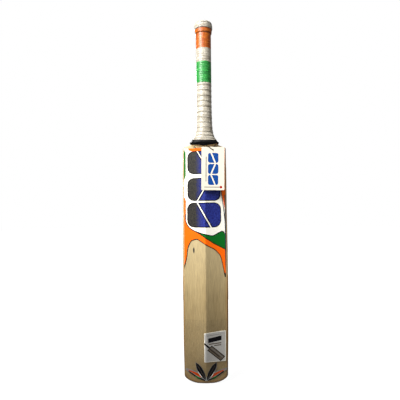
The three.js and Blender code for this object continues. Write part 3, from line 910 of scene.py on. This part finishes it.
def rubber_grip(looks):
    """A sleeve whose bands of colour meet on whole rings of the mesh."""
    turns = turns_round(ROUND_STEPS)
    marks = [GRIP_START, GREEN_BAND, WHITE_BAND, ORANGE_BAND, CUFF_START, CUFF_START + CUFF_ROLL, GRIP_END]
    outside = []
    for low, high in zip(marks, marks[1:]):
        count = max(3, round((high - low) / 1.1))
        outside += [low + (high - low) * k / count for k in range(count)]
    outside.append(GRIP_END)
    inside = [GRIP_END, 220, 160, 105, 71, 46, 31, 21, 14, GRIP_START]
    rings = outside + inside
    points = [on_handle(height, turn, grip_offset(height, turn)) for height in outside for turn in turns]
    points += [on_handle(height, turn, GRIP_INNER) for height in inside for turn in turns]
    bands = ((ORANGE_BAND, 2), (WHITE_BAND, 0), (GREEN_BAND, 1))
    paints = []
    for ring, (low, high) in enumerate(zip(rings, rings[1:] + rings[:1])):
        paint = next((p for start, p in bands if (low + high) / 2 > start), 0)
        paints += [paint if ring < len(outside) - 1 else 0] * ROUND_STEPS
    colours = [looks["grip_white"], looks["grip_green"], looks["grip_orange"]]
    faces = loft_faces(len(rings), ROUND_STEPS, True)
    grip = make_piece("ribbed_grip", points, faces, colours, paints, sharp=60)
    # Painted shade: the dark lines outside, and half shade over the sleeve's inside.
    shades = [groove_shade(height, turn) for height in outside for turn in turns]
    add_shade(grip, "groove_shade", shades + [0.5] * (len(inside) * ROUND_STEPS))
    place(grip, "bat", "grip_rubber", "rubber_grip")


def cap_folds(height, radius, turn):
    """How far the gathered rubber of the end moves out and up at a place, and how much painted shade falls in
    its folds, its notch and along its foot.
    """
    gather = clamp((height - CAP_GATHER) / 9) * min(1, radius / 6)
    pleat = 0.35 * math.sin(5 * turn + 2.2 * math.sin(turn) + (height - 277) / 5)
    lump = 1.1 * ripple(turn, height, 1.4, 7)
    fold = bell(height + 2.6 * math.sin(turn - 0.9), CAP_FOLD, 1) * max(0, math.cos(turn - 2.3)) ** 0.5
    cleft = bell(radius * math.cos(turn), CAP_CLEFT, 2.2) * clamp((height - 290) / 5)
    foot = tent(height, CAP_START, 2.2)
    out = 0.9 * gather * (pleat + lump - 1.9 * fold)
    up = -0.5 * gather * abs(pleat) - 2.8 * cleft
    # The last value is painted shade: in the folds, in the notch at the top and along the cap's foot.
    return out, up, clamp(max(gather * (1.3 * fold - 0.4 * pleat), 0.7 * cleft, 0.8 * foot))


def capped_end(looks):
    """The grip's bunched white end, pulled in over the top of the handle: its inside, then its outside."""
    inside = [(292.6, 1.2), (292.6, 14.5), (292, 16.6), (284, 16.6)]
    path = [
        (276.6, 16.6), (276.5, 19.8), (276.9, 20.9), (278.6, 21.5), (281.5, 21.8), (285, 21.7), (288.4, 21.2),
        (291.4, 20.1), (293.8, 18.2), (295.6, 15.4), (296.9, 12), (297.7, 8.6), (297.8, 5.6), (297.2, 3),
        (296.6, 1.2),
    ]
    rings = inside + curve2(path, 3)
    points, shades = [], []
    for number, (height, radius) in enumerate(rings):
        for turn in turns_round(ROUND_STEPS):
            # The inside of the cap gets half painted shade.
            out, up, shade = (0, 0, 0.5) if number < len(inside) else cap_folds(height, radius, turn)
            reach = radius + out
            gathered = Vector((reach * math.cos(turn), reach * math.sin(turn), height + up))
            points.append(HANDLE_FRAME @ gathered)
            shades.append(shade)
    faces = loft_faces(len(rings), ROUND_STEPS, False)
    cap = make_piece("gathered_cap", points, faces, [looks["grip_white"]], sharp=60)
    add_shade(cap, "groove_shade", shades)
    place(cap, "bat", "cap_rubber", "end_cap")


def collar_tape(looks):
    """Black tape over the joint in three uneven wraps, dipping where it crosses the face and the back."""
    turns = turns_round(144)
    steps = 27
    shares = [j / steps for j in range(steps + 1)]
    inner = profile((-4, 1.9), (2.4, 1.2), (5.6, 3.0), (14, 3.0))
    outer = profile((-4, 3.2), (1, 3.6), (4.6, 4.2), (8, 3.9), (14, 3.5))
    points = []
    for turn in turns:
        front = bell(turn, 1.5 * math.pi, 0.5)
        back = bell(turn, 0.5 * math.pi - 0.1, 0.35)
        side = abs(math.cos(turn)) ** 3
        low = TAPE_FOOT - 0.6 * front - 3 * back + 4.8 * side + 0.4 * math.sin(5 * turn + 1)
        high = TAPE_TOP + 3.2 * side + 0.4 * math.sin(2 * turn + 0.6) + 0.35 * math.sin(7 * turn)
        for share in shares:
            height = low + (high - low) * share
            wraps = 0.35 * ((share * TAPE_WRAPS + 0.2 * math.sin(3 * turn)) % 1)
            crumple = 0.45 * ripple(turn, height + 3 * turn, 3, 3)
            points.append(on_handle(height, turn, outer(height) - 0.2 + wraps + crumple))
        for share in reversed(shares):
            height = low + (high - low) * share
            points.append(on_handle(height, turn, inner(height)))
    faces = loft_faces(len(turns), 2 * len(shares), True)
    collar = make_piece("collar_tape", points, faces, [looks["tape"]], sharp=50)
    place(collar, "bat", "black_tape", "grip_collar")


# ---------- stickers


def split_plate(left, low, right, high, falling):
    """A bold plate with rounded corners, cut in two by a slanting gap."""
    height = high - low
    gap, slant = height * 0.075, min(height * 0.3, (right - left) * 0.2)
    middle = (left + right) / 2
    radius = min(height * 0.26, middle - slant - gap - left - 0.6)
    a, b = (middle - slant, middle + slant) if falling else (middle + slant, middle - slant)
    corners = rounded(left, low, right, high, radius, 4)
    half = len(corners) // 2
    return [
        [(b - gap, low), (a - gap, high), *corners[half:]],
        [(a + gap, high), (b + gap, low), *corners[:half]],
    ]


def plates(boxes, ink):
    """Stacked plates with a black outline, in place of lettering."""
    zones = []
    for number, edges in enumerate(boxes):
        for half in split_plate(*edges, number % 2 == 0):
            zones += [("black", grown(half, PLATE_OUTLINE)), (ink, half)]
    return zones


def line(width, *points):
    """A black line through the points, as a painted zone."""
    return "black", stroke(points, width)


def border_strip(left, green_low, white_low):
    """The narrow stripe down one side: green, then white, then orange, with a dark line inside it."""
    top, foot, right = STICKER_TOP - 1.5, 330, left + 4.4
    green = [
        (left - 1, green_low - 6), (left + 2.4, green_low), (right, green_low + 7), (right, top - 8),
        (left + 1, top), (left - 1, top),
    ]
    orange = [
        (left - 1, foot), (right, foot), (right, white_low - 8), (left + 2, white_low), (left - 1, white_low),
    ]
    rule = stroke([(right + 1.3, top), (right + 1.3, 392)], 0.6)
    return [("green", green), ("orange", orange), ("grey", rule)]


# The stacked plates of each panel: left, low, right, high.
FACE_PLATES = ((-34, 482, 36, 532), (-34, 428, 36, 474), (-34, 372, 36, 420))
BACK_PLATES = ((-38, 491, 34.5, 541), (-38, 429, 34.5, 478), (-39, 368, 35, 421))
PLATE_OUTLINE = 2.2
SWEEP = [
    (-38, STICKER_TOP - 2), (-30, STICKER_TOP + 1), (49, STICKER_TOP + 1), (49, 382), (47.6, 388),
    (44.5, 415), (40, 440), (36, 458), (30, 474), (18, 492), (2, 514), (-12, 527), (-26, 534),
]


def face_art():
    """The hitting face's design, X across."""
    outline = [
        (-48.4, 325), (-28, 341.5), (-24, 337.5), (-24.5, 320), (0, 315), (28, 310.6), (34, 313.5),
        (48.4, 317.5), (48.4, STICKER_TOP), (-48.4, STICKER_TOP),
    ]
    white_sweep = [
        (-39, 549), (-30, 541), (-12, 534.5), (4, 518), (18, 496), (30, 480), (36, 470), (36, 483), (41, 483),
        (41, 537), (-12, 538), (-27, 543),
    ]
    inner_sweep = [(-36, 549), (41, 549), (41, 483), (24, 480), (20, 492), (2, 518), (-8, 536), (-27, 538)]
    foot = curve2([(-41.6, 392), (-41, 378), (-38, 370), (-32, 363.4), (-20, 358), (-8, 354)])
    crest = curve2([(-8, 354), (8, 349.8), (20, 347.4), (29, 350.6), (38, 354.6), (44, 351.5), (49, 349)])
    lower = [(-49, 318), (-49, 452), (-42.2, 452), *foot, (-5, 352), (49, 319), (49, 316), (-18, 341)]
    lower.append((-28, 342))
    dash = [(0, 331), (4.4, 329.7), (3.6, 323.7), (-0.8, 325)]
    lefts = [-18 + 6.5 * number for number in range(7)]
    dashes = [("orange", [(left + x, z - 0.29 * left) for x, z in dash]) for left in lefts]
    return outline, [
        ("orange", SWEEP),
        line(0.9, (-38, 545), (-26, 536), (-10, 533.4)),
        ("white", white_sweep),
        ("orange", inner_sweep),
        line(0.8, (36.4, 462), (40.4, 440), (45, 415), (48.2, 386)),
        ("slate", [(42, 549), (42, 489), (48.6, 482), (48.6, 549)]),
        *border_strip(-48, 488, 452),
        ("orange", lower),
        ("green", [*crest, (49, 319.5), (-5, 352)]),
        line(0.8, *foot, *crest[1:]),
        line(1.1, (-22, 358.4), (-5, 351.6), (16, 338.4), (48.8, 319.4)),
        ("white", [(-25, 339.6), (-18, 340), (49, 317), (49, 305), (-25, 305)]),
        *dashes,
        ("green", [(29, 312), (33, 316), (41, 317.5), (37, 309)]),
        line(1, (-47.6, 325.6), (-28, 342.2), (-18, 340.8), (49, 317.6)),
        line(1, (-24.3, 320.6), (0, 315.6), (28, 311.2), (34, 314)),
        ("beige", [(-49, 320), (-49, 325), (-28.4, 341.4), (-24.2, 338), (-24.2, 335)]),
        *plates(FACE_PLATES, "face_ink"),
    ]


def back_art():
    """The spine side's design. Its x runs the way it reads from behind."""
    arch = curve2([
        (-48.4, 271), (-45.5, 283), (-42, 300), (-40.5, 313), (-38, 323), (-33, 333), (-28.5, 336.4),
        (-20, 338.6), (-13, 335.4), (0, 326.8), (11, 320.6), (20, 315.4), (28, 308), (33.6, 300), (37, 288),
        (41, 268), (44, 252),
    ])
    outline = [*arch, (46.4, 252), (47.8, 320), (47.8, STICKER_TOP), (-48.4, STICKER_TOP)]
    white_sweep = [
        (-38, 544), (-26, 535), (6, 518), (20, 490), (34, 458), (36.6, 470), (36.6, 540), (20, 547),
        (-8, 544),
    ]
    foot = curve2([(-45.4, 396), (-45, 384), (-42.6, 374.5), (-37, 366), (-28, 359.6), (-14, 354.2)])
    crest = curve2([
        (-14, 354.2), (0, 350.4), (12, 347.6), (18, 347), (27, 351), (36, 355.8), (41, 356), (46, 350.5),
    ])
    lower = [(-49, 260), (-49, 434), (-45.6, 434), *foot, (-12, 350), (49, 313.5), (49, 240)]
    return outline, [
        ("orange", SWEEP),
        ("white", white_sweep),
        ("white", [(-6, 549), (24, 549), (24, 500), (-6, 500)]),
        ("orange", [(-38, 549), (-34, 543.8), (-26, 541.8), (-7, 542.4), (-7, 552), (-36, 552)]),
        line(1.8, (36.8, 462), (38.8, 442), (42, 420), (44.4, 398), (46.2, 375), (46.6, 350)),
        ("white", [(34, 463), (37.2, 440), (41, 418), (43.6, 396), (45.6, 374), (46, 350), (30, 350)]),
        *border_strip(-48.6, 480, 434),
        ("orange", lower),
        ("green", [*crest, (46, 316), (18, 331), (-12, 351)]),
        ("slate", [(45.7, 440), (49, 440), (49, 250), (46.2, 250), (45.6, 300)]),
        line(2.2, *foot, *crest[1:]),
        line(1.9, (-24, 357.6), (-12, 351), (20, 329.4), (46.4, 315)),
        line(3.4, *arch),
        ("black", [(-49, 266), (-46.2, 270), (-46.4, 279), (-49, 279)]),
        ("black", [(42, 249), (46.8, 249), (46.4, 260), (43, 262)]),
        *plates(BACK_PLATES, "back_ink"),
    ]


def mirrored(shape):
    return [(-x, z) for x, z in shape][::-1]


def from_behind(art):
    """Art that is drawn the way it reads from behind, turned to the bat's own X."""
    outline, zones = art
    return mirrored(outline), [(paint, mirrored(zone)) for paint, zone in zones]


def sticker(looks, node, art, guides, surface, lift=STICKER_LIFT, base="white", slot="printed_vinyl"):
    """A sticker on one of the blade's surfaces, in place of the CAD node of the same name."""
    outline, zones = art
    piece = art_shell(f"{node}_art", outline, zones, guides, surface, lift, STICKER_THICKNESS, looks, base)
    place(piece, "bat", slot, node)


def panel_stickers(looks):
    zs = steps_between(246, STICKER_TOP + 2, 6)
    sticker(looks, "face_sticker", face_art(), (FACE_XS, zs), on_face)
    sticker(looks, "back_sticker", from_behind(back_art()), (BACK_XS, zs), on_back)


def toe_film(looks):
    """Clear protective film round the lower back, cut square above and following the toe below."""
    half, margin = 49.5, 4  # its half width, and the bare wood left round the toe
    xs = [half - 2 * half * k / 24 for k in range(25)]
    outline = [(-half, FILM_TOP), *[(x, toe_height(x) + margin) for x in reversed(xs)], (half, FILM_TOP)]
    guides = (BACK_XS, steps_between(0, FILM_TOP, 5))
    film = art_shell(
        "toe_film_sheet", outline, [], guides, on_back, STICKER_LIFT, FILM_THICKNESS, looks, "film",
    )
    place(film, "bat", "clear_film", "toe_film")


def toe_art():
    """Two plain leaves that meet low on the spine, over bands that rise to the edges."""
    leaf = curve2([(24, 53), (23.4, 43), (20, 33), (14.5, 23.5), (8, 15), (1.4, 9.6)], 5)
    leaf += curve2([(1.4, 9.6), (1.8, 17), (4.6, 27), (9, 37), (15.5, 46.5), (24, 53)], 5)[1:-1]
    half = [
        ("grey", [(2, 7.4), (46, 34.6), (48, 38), (26, 31.5), (15, 26), (3, 16)]),
        ("white", [(4, 12), (14, 20), (19, 29.6), (14, 28), (4, 15)]),
        ("rust", [(11, 14.6), (18, 18), (40, 31), (43.6, 34.6), (26, 28.8), (18.5, 25.6)]),
        ("black", [(2, 7.4), (20, 11), (42, 28), (40, 30.6), (20, 17), (4, 10.4)]),
        ("green", [(13, 12.4), (20, 14), (27, 19), (22, 18)]),
        ("black", leaf),
        ("brown", stroke([(3.6, 14), (11, 28), (20, 45)], 0.6)),
    ]
    edge = [
        (0, 7.1), (3, 7.1), (20, 12.8), (47.8, 33.6), (48.2, 38.4), (26, 31.6), (20.8, 29.4), (23.8, 40),
        (24.8, 54), (15.2, 47.4), (8.4, 37.6), (3.9, 27.4), (1, 16),
    ]
    outline = edge + mirrored(edge[1:])
    return outline, half + [(paint, mirrored(zone)) for paint, zone in half]


def toe_sticker(looks):
    guides = (BACK_XS, steps_between(4, 52, 4))
    sticker(looks, "toe_sticker", toe_art(), guides, on_back, OVER_FILM, "grey")


def label_art():
    """A plain label, a little askew: a heading bar, rules and a small picture of a bat."""
    left, right, low, high, rise = -4.5, 45.4, 55.3, 126.6, 0.04

    def askew(shape):
        return [(x, z + rise * x * (z - low) / (high - low)) for x, z in shape]

    def slab(start, end, half, shift=0):
        """Part of the little bat, between two places along it."""
        along, across = Vector((0.72, -0.69)), Vector((0.69, 0.72))
        base = Vector((left, 102))
        return [tuple(base + along * a + across * b) for a, b in box(start, shift - half, end, shift + half)]

    tilt = 31 * 0.13
    zones = [
        ("silver", askew(box(left + 1, low + 1, right - 1, high - 1.2))),
        ("grey", askew(box(2, 119, 35, 120.4))),
        ("black", [(4.5, 102.5), (35.5, 102.5 + tilt), (35.5, 113.5 + tilt), (4.5, 113.5)]),
        ("brown", askew(box(6, 98, 35, 100.6))),
        ("brown", askew(box(18, 93.4, 35, 95.8))),
        ("black", slab(0, 19, 2.1)),
        ("black", slab(16.5, 60, 7.6)),
        ("brown", slab(18, 58.5, 6)),
        ("grey", slab(20, 57, 0.8, 2.6)),
        ("black", slab(20, 50, 0.8, -1.4)),
    ]
    return askew(box(left, low, right, high)), zones


def size_label(looks):
    guides = (BACK_XS, steps_between(52, 130, 5))
    sticker(looks, "size_label", from_behind(label_art()), guides, on_back, OVER_FILM, slot="silver_label")


def edge_stripe_art():
    """A long tapering stripe over a slanted foot. Its x runs from the face to the back."""
    outline = [
        (-8, 316), (-3, 316.5), (8, 308), (8, 362), (4.2, 374), (3, 440), (0.9, 505), (-0.9, 505), (-3, 440),
        (-4.2, 376), (-8, 368),
    ]
    return outline, [
        line(0.7, (-4.3, 373), (-3.1, 440), (-0.8, 505)),
        line(0.7, (4.3, 373), (3.1, 440), (0.8, 505)),
        ("black", [(-3.6, 374), (0, 366.5), (3.6, 374), (0, 371.5)]),
        ("orange", [(-9, 368), (9, 353), (9, 342), (-9, 357)]),
        ("black", [(-9, 347.5), (9, 332), (9, 300), (-9, 300)]),
        ("grey", [(-7, 334), (8.4, 320.5), (8.4, 319.3), (-7, 332.8)]),
        ("green", [(-4.6, 329.6), (6.6, 320.6), (6.6, 311.5), (-1, 318.4), (-4.6, 318.8)]),
    ]


def edge_badge_art():
    """Three plain slanted bars in place of lettering."""
    lows = [BADGE_LOW + 2 + BADGE_BAR_STEP * number for number in range(3)]
    bars = [("black", [(-9.6, low), (9.6, low + 4), (9.6, low + 15), (-9.6, low + 11)]) for low in lows]
    return rounded(-BADGE_HALF_WIDTH, BADGE_LOW, BADGE_HALF_WIDTH, BADGE_HIGH, 3, 1), bars


def edge_stickers(looks):
    for side, sign in (("right", 1), ("left", -1)):

        def on_edge(across, z, lift):
            return Vector((sign * (HALF_WIDTH(z) + lift), edge_middle(z) + across, z))

        for kind, art in (("stripe", edge_stripe_art()), ("badge", edge_badge_art())):
            heights = [z for _, z in art[0]]
            guides = ((0,), steps_between(min(heights), max(heights), 9))
            sticker(looks, f"edge_{kind}_{side}", art, guides, on_edge)


# ---------- tag and cords


def twisted_cord(name, path, radius, looks, closed=False, pitch=CORD_PITCH):
    """Two plies twisted together along a path, as one tube whose section is a turning figure of eight."""
    count = len(path)
    along = []
    for i in range(count):
        ahead = path[(i + 1) % count] if closed else path[min(i + 1, count - 1)]
        behind = path[i - 1] if closed else path[max(i - 1, 0)]
        along.append((ahead - behind).normalized())
    side = along[0].orthogonal().normalized()
    sides = []
    for direction in along:
        side = (side - direction * side.dot(direction)).normalized()
        sides.append(side.copy())
    drift = 0
    if closed:
        back = (sides[-1] - along[0] * sides[-1].dot(along[0])).normalized()
        drift = math.atan2(along[0].dot(back.cross(sides[0])), back.dot(sides[0]))
    lengths = [0]
    for a, b in zip(path, path[1:]):
        lengths.append(lengths[-1] + (b - a).length)
    whole = lengths[-1] + ((path[0] - path[-1]).length if closed else 0)
    twists = max(1, round(whole / pitch)) if closed else whole / pitch
    points = []
    for here, direction, first, length in zip(path, along, sides, lengths):
        second = direction.cross(first)
        lead = (drift + 2 * math.pi * twists) * length / whole
        for turn in turns_round(PLY_STEPS):
            reach = radius * (PLY_WAIST + (1 - PLY_WAIST) * abs(math.cos(turn)))
            points.append(here + reach * (first * math.cos(turn + lead) + second * math.sin(turn + lead)))
    faces = loft_faces(count, PLY_STEPS, closed)
    return make_piece(name, points, faces, [looks["yarn"]], sharp=70)


def cord_loop(looks):
    """The cord round the foot of the grip, knotted at the front of the handle, with two cut tails."""
    climb = profile(
        (-180, 6), (-165, 9.5), (-120, 16), (-82, 20), (-45, 19), (-18, 8.5), (30, 4), (90, 3.5), (150, 4.5),
        (180, 6),
    )

    def round_handle(degrees, offset):
        return on_handle(climb(degrees), math.radians(degrees), offset)

    path = spline([round_handle(-180 + 10 * k, CORD_OFFSET) for k in range(36)], 6, closed=True)
    loop = twisted_cord("cord_loop_yarn", path, 0.8, looks, closed=True)
    place(loop, "bat", "cord", "cord_loop")

    middle = round_handle(-80, CORD_OFFSET + 0.9)
    trefoil = []  # the knot's path
    for t in turns_round(48):
        across, up = math.sin(t) + 2 * math.sin(2 * t), math.cos(t) - 2 * math.cos(2 * t)
        trefoil.append(middle + Vector((across, -math.sin(3 * t), up)) * 0.62)
    place(twisted_cord("cord_knot", trefoil, 0.7, looks, closed=True), "bat", "cord")
    start = middle + Vector((0, -0.9, 0.5))
    for number, (sway, lift) in enumerate(((-9.5, 4.6), (-4.5, 2.6))):
        bend = start + Vector((sway * 0.4, -0.9, lift * 0.7))
        tail = spline([start, bend, start + Vector((sway, -0.6, lift))], 14)
        place(twisted_cord(f"cord_tail_{number + 1}", tail, 0.62, looks), "bat", "cord")


def on_tag(x, z, lift):
    """A point of the tag, which bows a little across its width."""
    bow = 0.9 * ((x - TAG_HOLE.x) / (TAG_WIDTH / 2)) ** 2 * clamp((TAG_HOLE.z - 12 - z) / 60)
    return Vector((x, TAG_HOLE.y + (TAG_HOLE.z - z) * math.tan(TAG_TILT) + bow + lift, z))


def tag_strands(looks):
    """The cord's two strands: down outside the card, through its hole and up on the bat's side of it."""
    clear = TAG_THICKNESS / 2 + STRAND_RADIUS + 0.15

    def beside(x, z, away):
        return Vector((x, TAG_HOLE.y + (TAG_HOLE.z - z) * math.tan(TAG_TILT) + away, z))

    middle = (STRAND_TOP.z + TAG_HOLE.z) / 2
    path = spline([
        (3.4, STRAND_TOP.y, STRAND_TOP.z),
        beside(0.6, STRAND_TOP.z - 0.8, clear),
        beside(TAG_HOLE.x * 0.5, middle, clear),
        beside(TAG_HOLE.x + 1.2, TAG_HOLE.z + 1, clear),
        TAG_HOLE,
        beside(TAG_HOLE.x - 1, TAG_HOLE.z + 1, -clear),
        beside(TAG_HOLE.x - 3.5, middle, -clear),
        (TAG_HOLE.x - 7, STRAND_TOP.y, STRAND_TOP.z),
    ], 10)
    strands = twisted_cord("tag_cord_yarn", path, STRAND_RADIUS, looks, pitch=4)
    place(strands, "tag_cord", "cord", "tag_cord")


def hang_tag(looks):
    """White card with plain printed plates. Its art reads from behind the bat, so x is turned round."""
    hole = Vector((-TAG_HOLE.x, TAG_HOLE.z))
    left, right = hole.x - TAG_WIDTH / 2, hole.x + TAG_WIDTH / 2
    top = TAG_HOLE.z + TAG_HOLE_DROP
    low = top - TAG_HEIGHT
    zones = []
    for number in range(3):
        foot = TAG_PLATE_FOOT + TAG_PLATE_STEP * number
        halves = split_plate(8.2, foot, 32, foot + TAG_PLATE_HEIGHT, number % 2 == 0)
        zones += [("card_blue", half) for half in halves]
    zones += [
        ("card_grey", box(3.1, 471, 4.7, 528)),
        ("card_grey", box(0, 457.4, 34, 459)),
        ("card_red", disc(38, 458.2, 3.1)),
        (None, disc(hole.x, hole.y, TAG_HOLE_RADIUS)),
    ]
    askew = Matrix.Rotation(-TAG_TURN, 2)

    def hung(shape):
        """Turned about the hole and seen from the front."""
        return mirrored([tuple(hole + askew @ (Vector(point) - hole)) for point in shape])

    zones = [(paint, hung(zone)) for paint, zone in zones]
    outline = hung(rounded(left, low, right, top, 2.5))
    guides = (steps_between(-right, -left, 5), steps_between(low, top, 8))
    tag = art_shell(
        "hang_tag_card", outline, zones, guides, on_tag, -TAG_THICKNESS / 2, TAG_THICKNESS, looks, "card",
    )
    place(tag, "hang_tag", "card", "hang_tag")


# ---------- carried-over CAD nodes


def dress_cad_nodes(nodes, looks):
    """The pieces inside the handle keep their CAD shape and get their own materials."""
    starts = {"cane_": "cane", "rubber_insert_": "insert", "twine_binding": "twine"}
    for name, node in nodes.items():
        for start, look in starts.items():
            if name.startswith(start):
                node.data.materials.clear()
                node.data.materials.append(looks[look])


# ---------- stage


def stage_floor():
    """A plain pale floor that fades into the backdrop's white."""
    points = [(x, y, -0.4) for x, y in disc(0, 0, 6000, 64)]
    s = Shader("stage_floor", 0.9)
    distance = s.node("ShaderNodeVectorMath", 1, {"operation": "LENGTH"}, i0=s.where)
    seen = s.node("ShaderNodeLightPath", "Is Camera Ray")
    s.set(Base_Color=(90, 90, 90), Emission_Color=(255, 255, 255))
    s.set(Emission_Strength=s.times(s.slide(distance, 0.15, 0.9, 0.86, 1), seen))
    make_piece("stage_floor", points, [tuple(range(len(points)))], [s.material])


def soft_light(name, place_m, aim_m, size, power):
    data = bpy.data.lights.new(name, "AREA")
    data.shape = "DISK"
    data.size = size
    data.energy = power
    light = bpy.data.objects.new(name, data)
    light.location = place_m
    light.rotation_mode = "QUATERNION"
    light.rotation_quaternion = (Vector(aim_m) - Vector(place_m)).to_track_quat("-Z", "Y")
    bpy.context.scene.collection.objects.link(light)


def backdrop():
    """White to the camera, a dimmer grey as light."""
    world = bpy.data.worlds.new("studio")
    bpy.context.scene.world = world
    world.use_nodes = True
    tree = world.node_tree
    tree.nodes.clear()
    path = tree.nodes.new("ShaderNodeLightPath")
    mix = tree.nodes.new("ShaderNodeMixShader")
    out = tree.nodes.new("ShaderNodeOutputWorld")
    tree.links.new(path.outputs["Is Camera Ray"], mix.inputs[0])
    for socket, strength in ((1, 0.2), (2, 1)):
        glow = tree.nodes.new("ShaderNodeBackground")
        glow.inputs[0].default_value = (1, 1, 1, 1)
        glow.inputs[1].default_value = strength
        tree.links.new(glow.outputs[0], mix.inputs[socket])
    tree.links.new(mix.outputs[0], out.inputs[0])


def studio():
    stage_floor()
    backdrop()
    behind_right, above_middle, middle = (1.05, 0.95, 1.85), (0, 0, 0.6), (0, 0, 0.45)
    soft_light("key", behind_right, above_middle, 1.3, 88)
    soft_light("glint", behind_right, above_middle, 0.22, 24)
    soft_light("fill", (-0.7, 1.9, 0.9), middle, 1.2, 10)
    soft_light("front_key", (0.5, -2.1, 1), middle, 1, 60)


def camera():
    """Behind the bat, about a metre away at half its height, as the middle view was taken."""
    data = bpy.data.cameras.new("camera")
    data.lens = 38.15
    data.sensor_width = 36
    data.clip_start = 0.01
    view = bpy.data.objects.new("camera", data)
    bpy.context.scene.collection.objects.link(view)
    view.location = (0.0113, 1.0, 0.429)
    view.rotation_euler = (math.radians(90), math.radians(0.5), math.radians(180))
    bpy.context.scene.camera = view


# ---------- the scene

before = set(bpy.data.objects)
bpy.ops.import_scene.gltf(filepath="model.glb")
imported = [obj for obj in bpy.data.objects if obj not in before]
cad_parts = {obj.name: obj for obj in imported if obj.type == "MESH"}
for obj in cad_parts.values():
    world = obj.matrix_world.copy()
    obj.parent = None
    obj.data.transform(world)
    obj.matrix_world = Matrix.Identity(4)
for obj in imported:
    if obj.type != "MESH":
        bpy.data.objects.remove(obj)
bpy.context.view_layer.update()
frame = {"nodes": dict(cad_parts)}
looks = make_materials()
for build in (
    willow_blade, rubber_grip, capped_end, collar_tape, panel_stickers, toe_film, toe_sticker, size_label,
    edge_stickers, cord_loop, tag_strands, hang_tag,
):
    build(looks)
dress_cad_nodes(frame["nodes"], looks)
studio()
camera()
bpy.context.scene.view_settings.view_transform = "Standard"
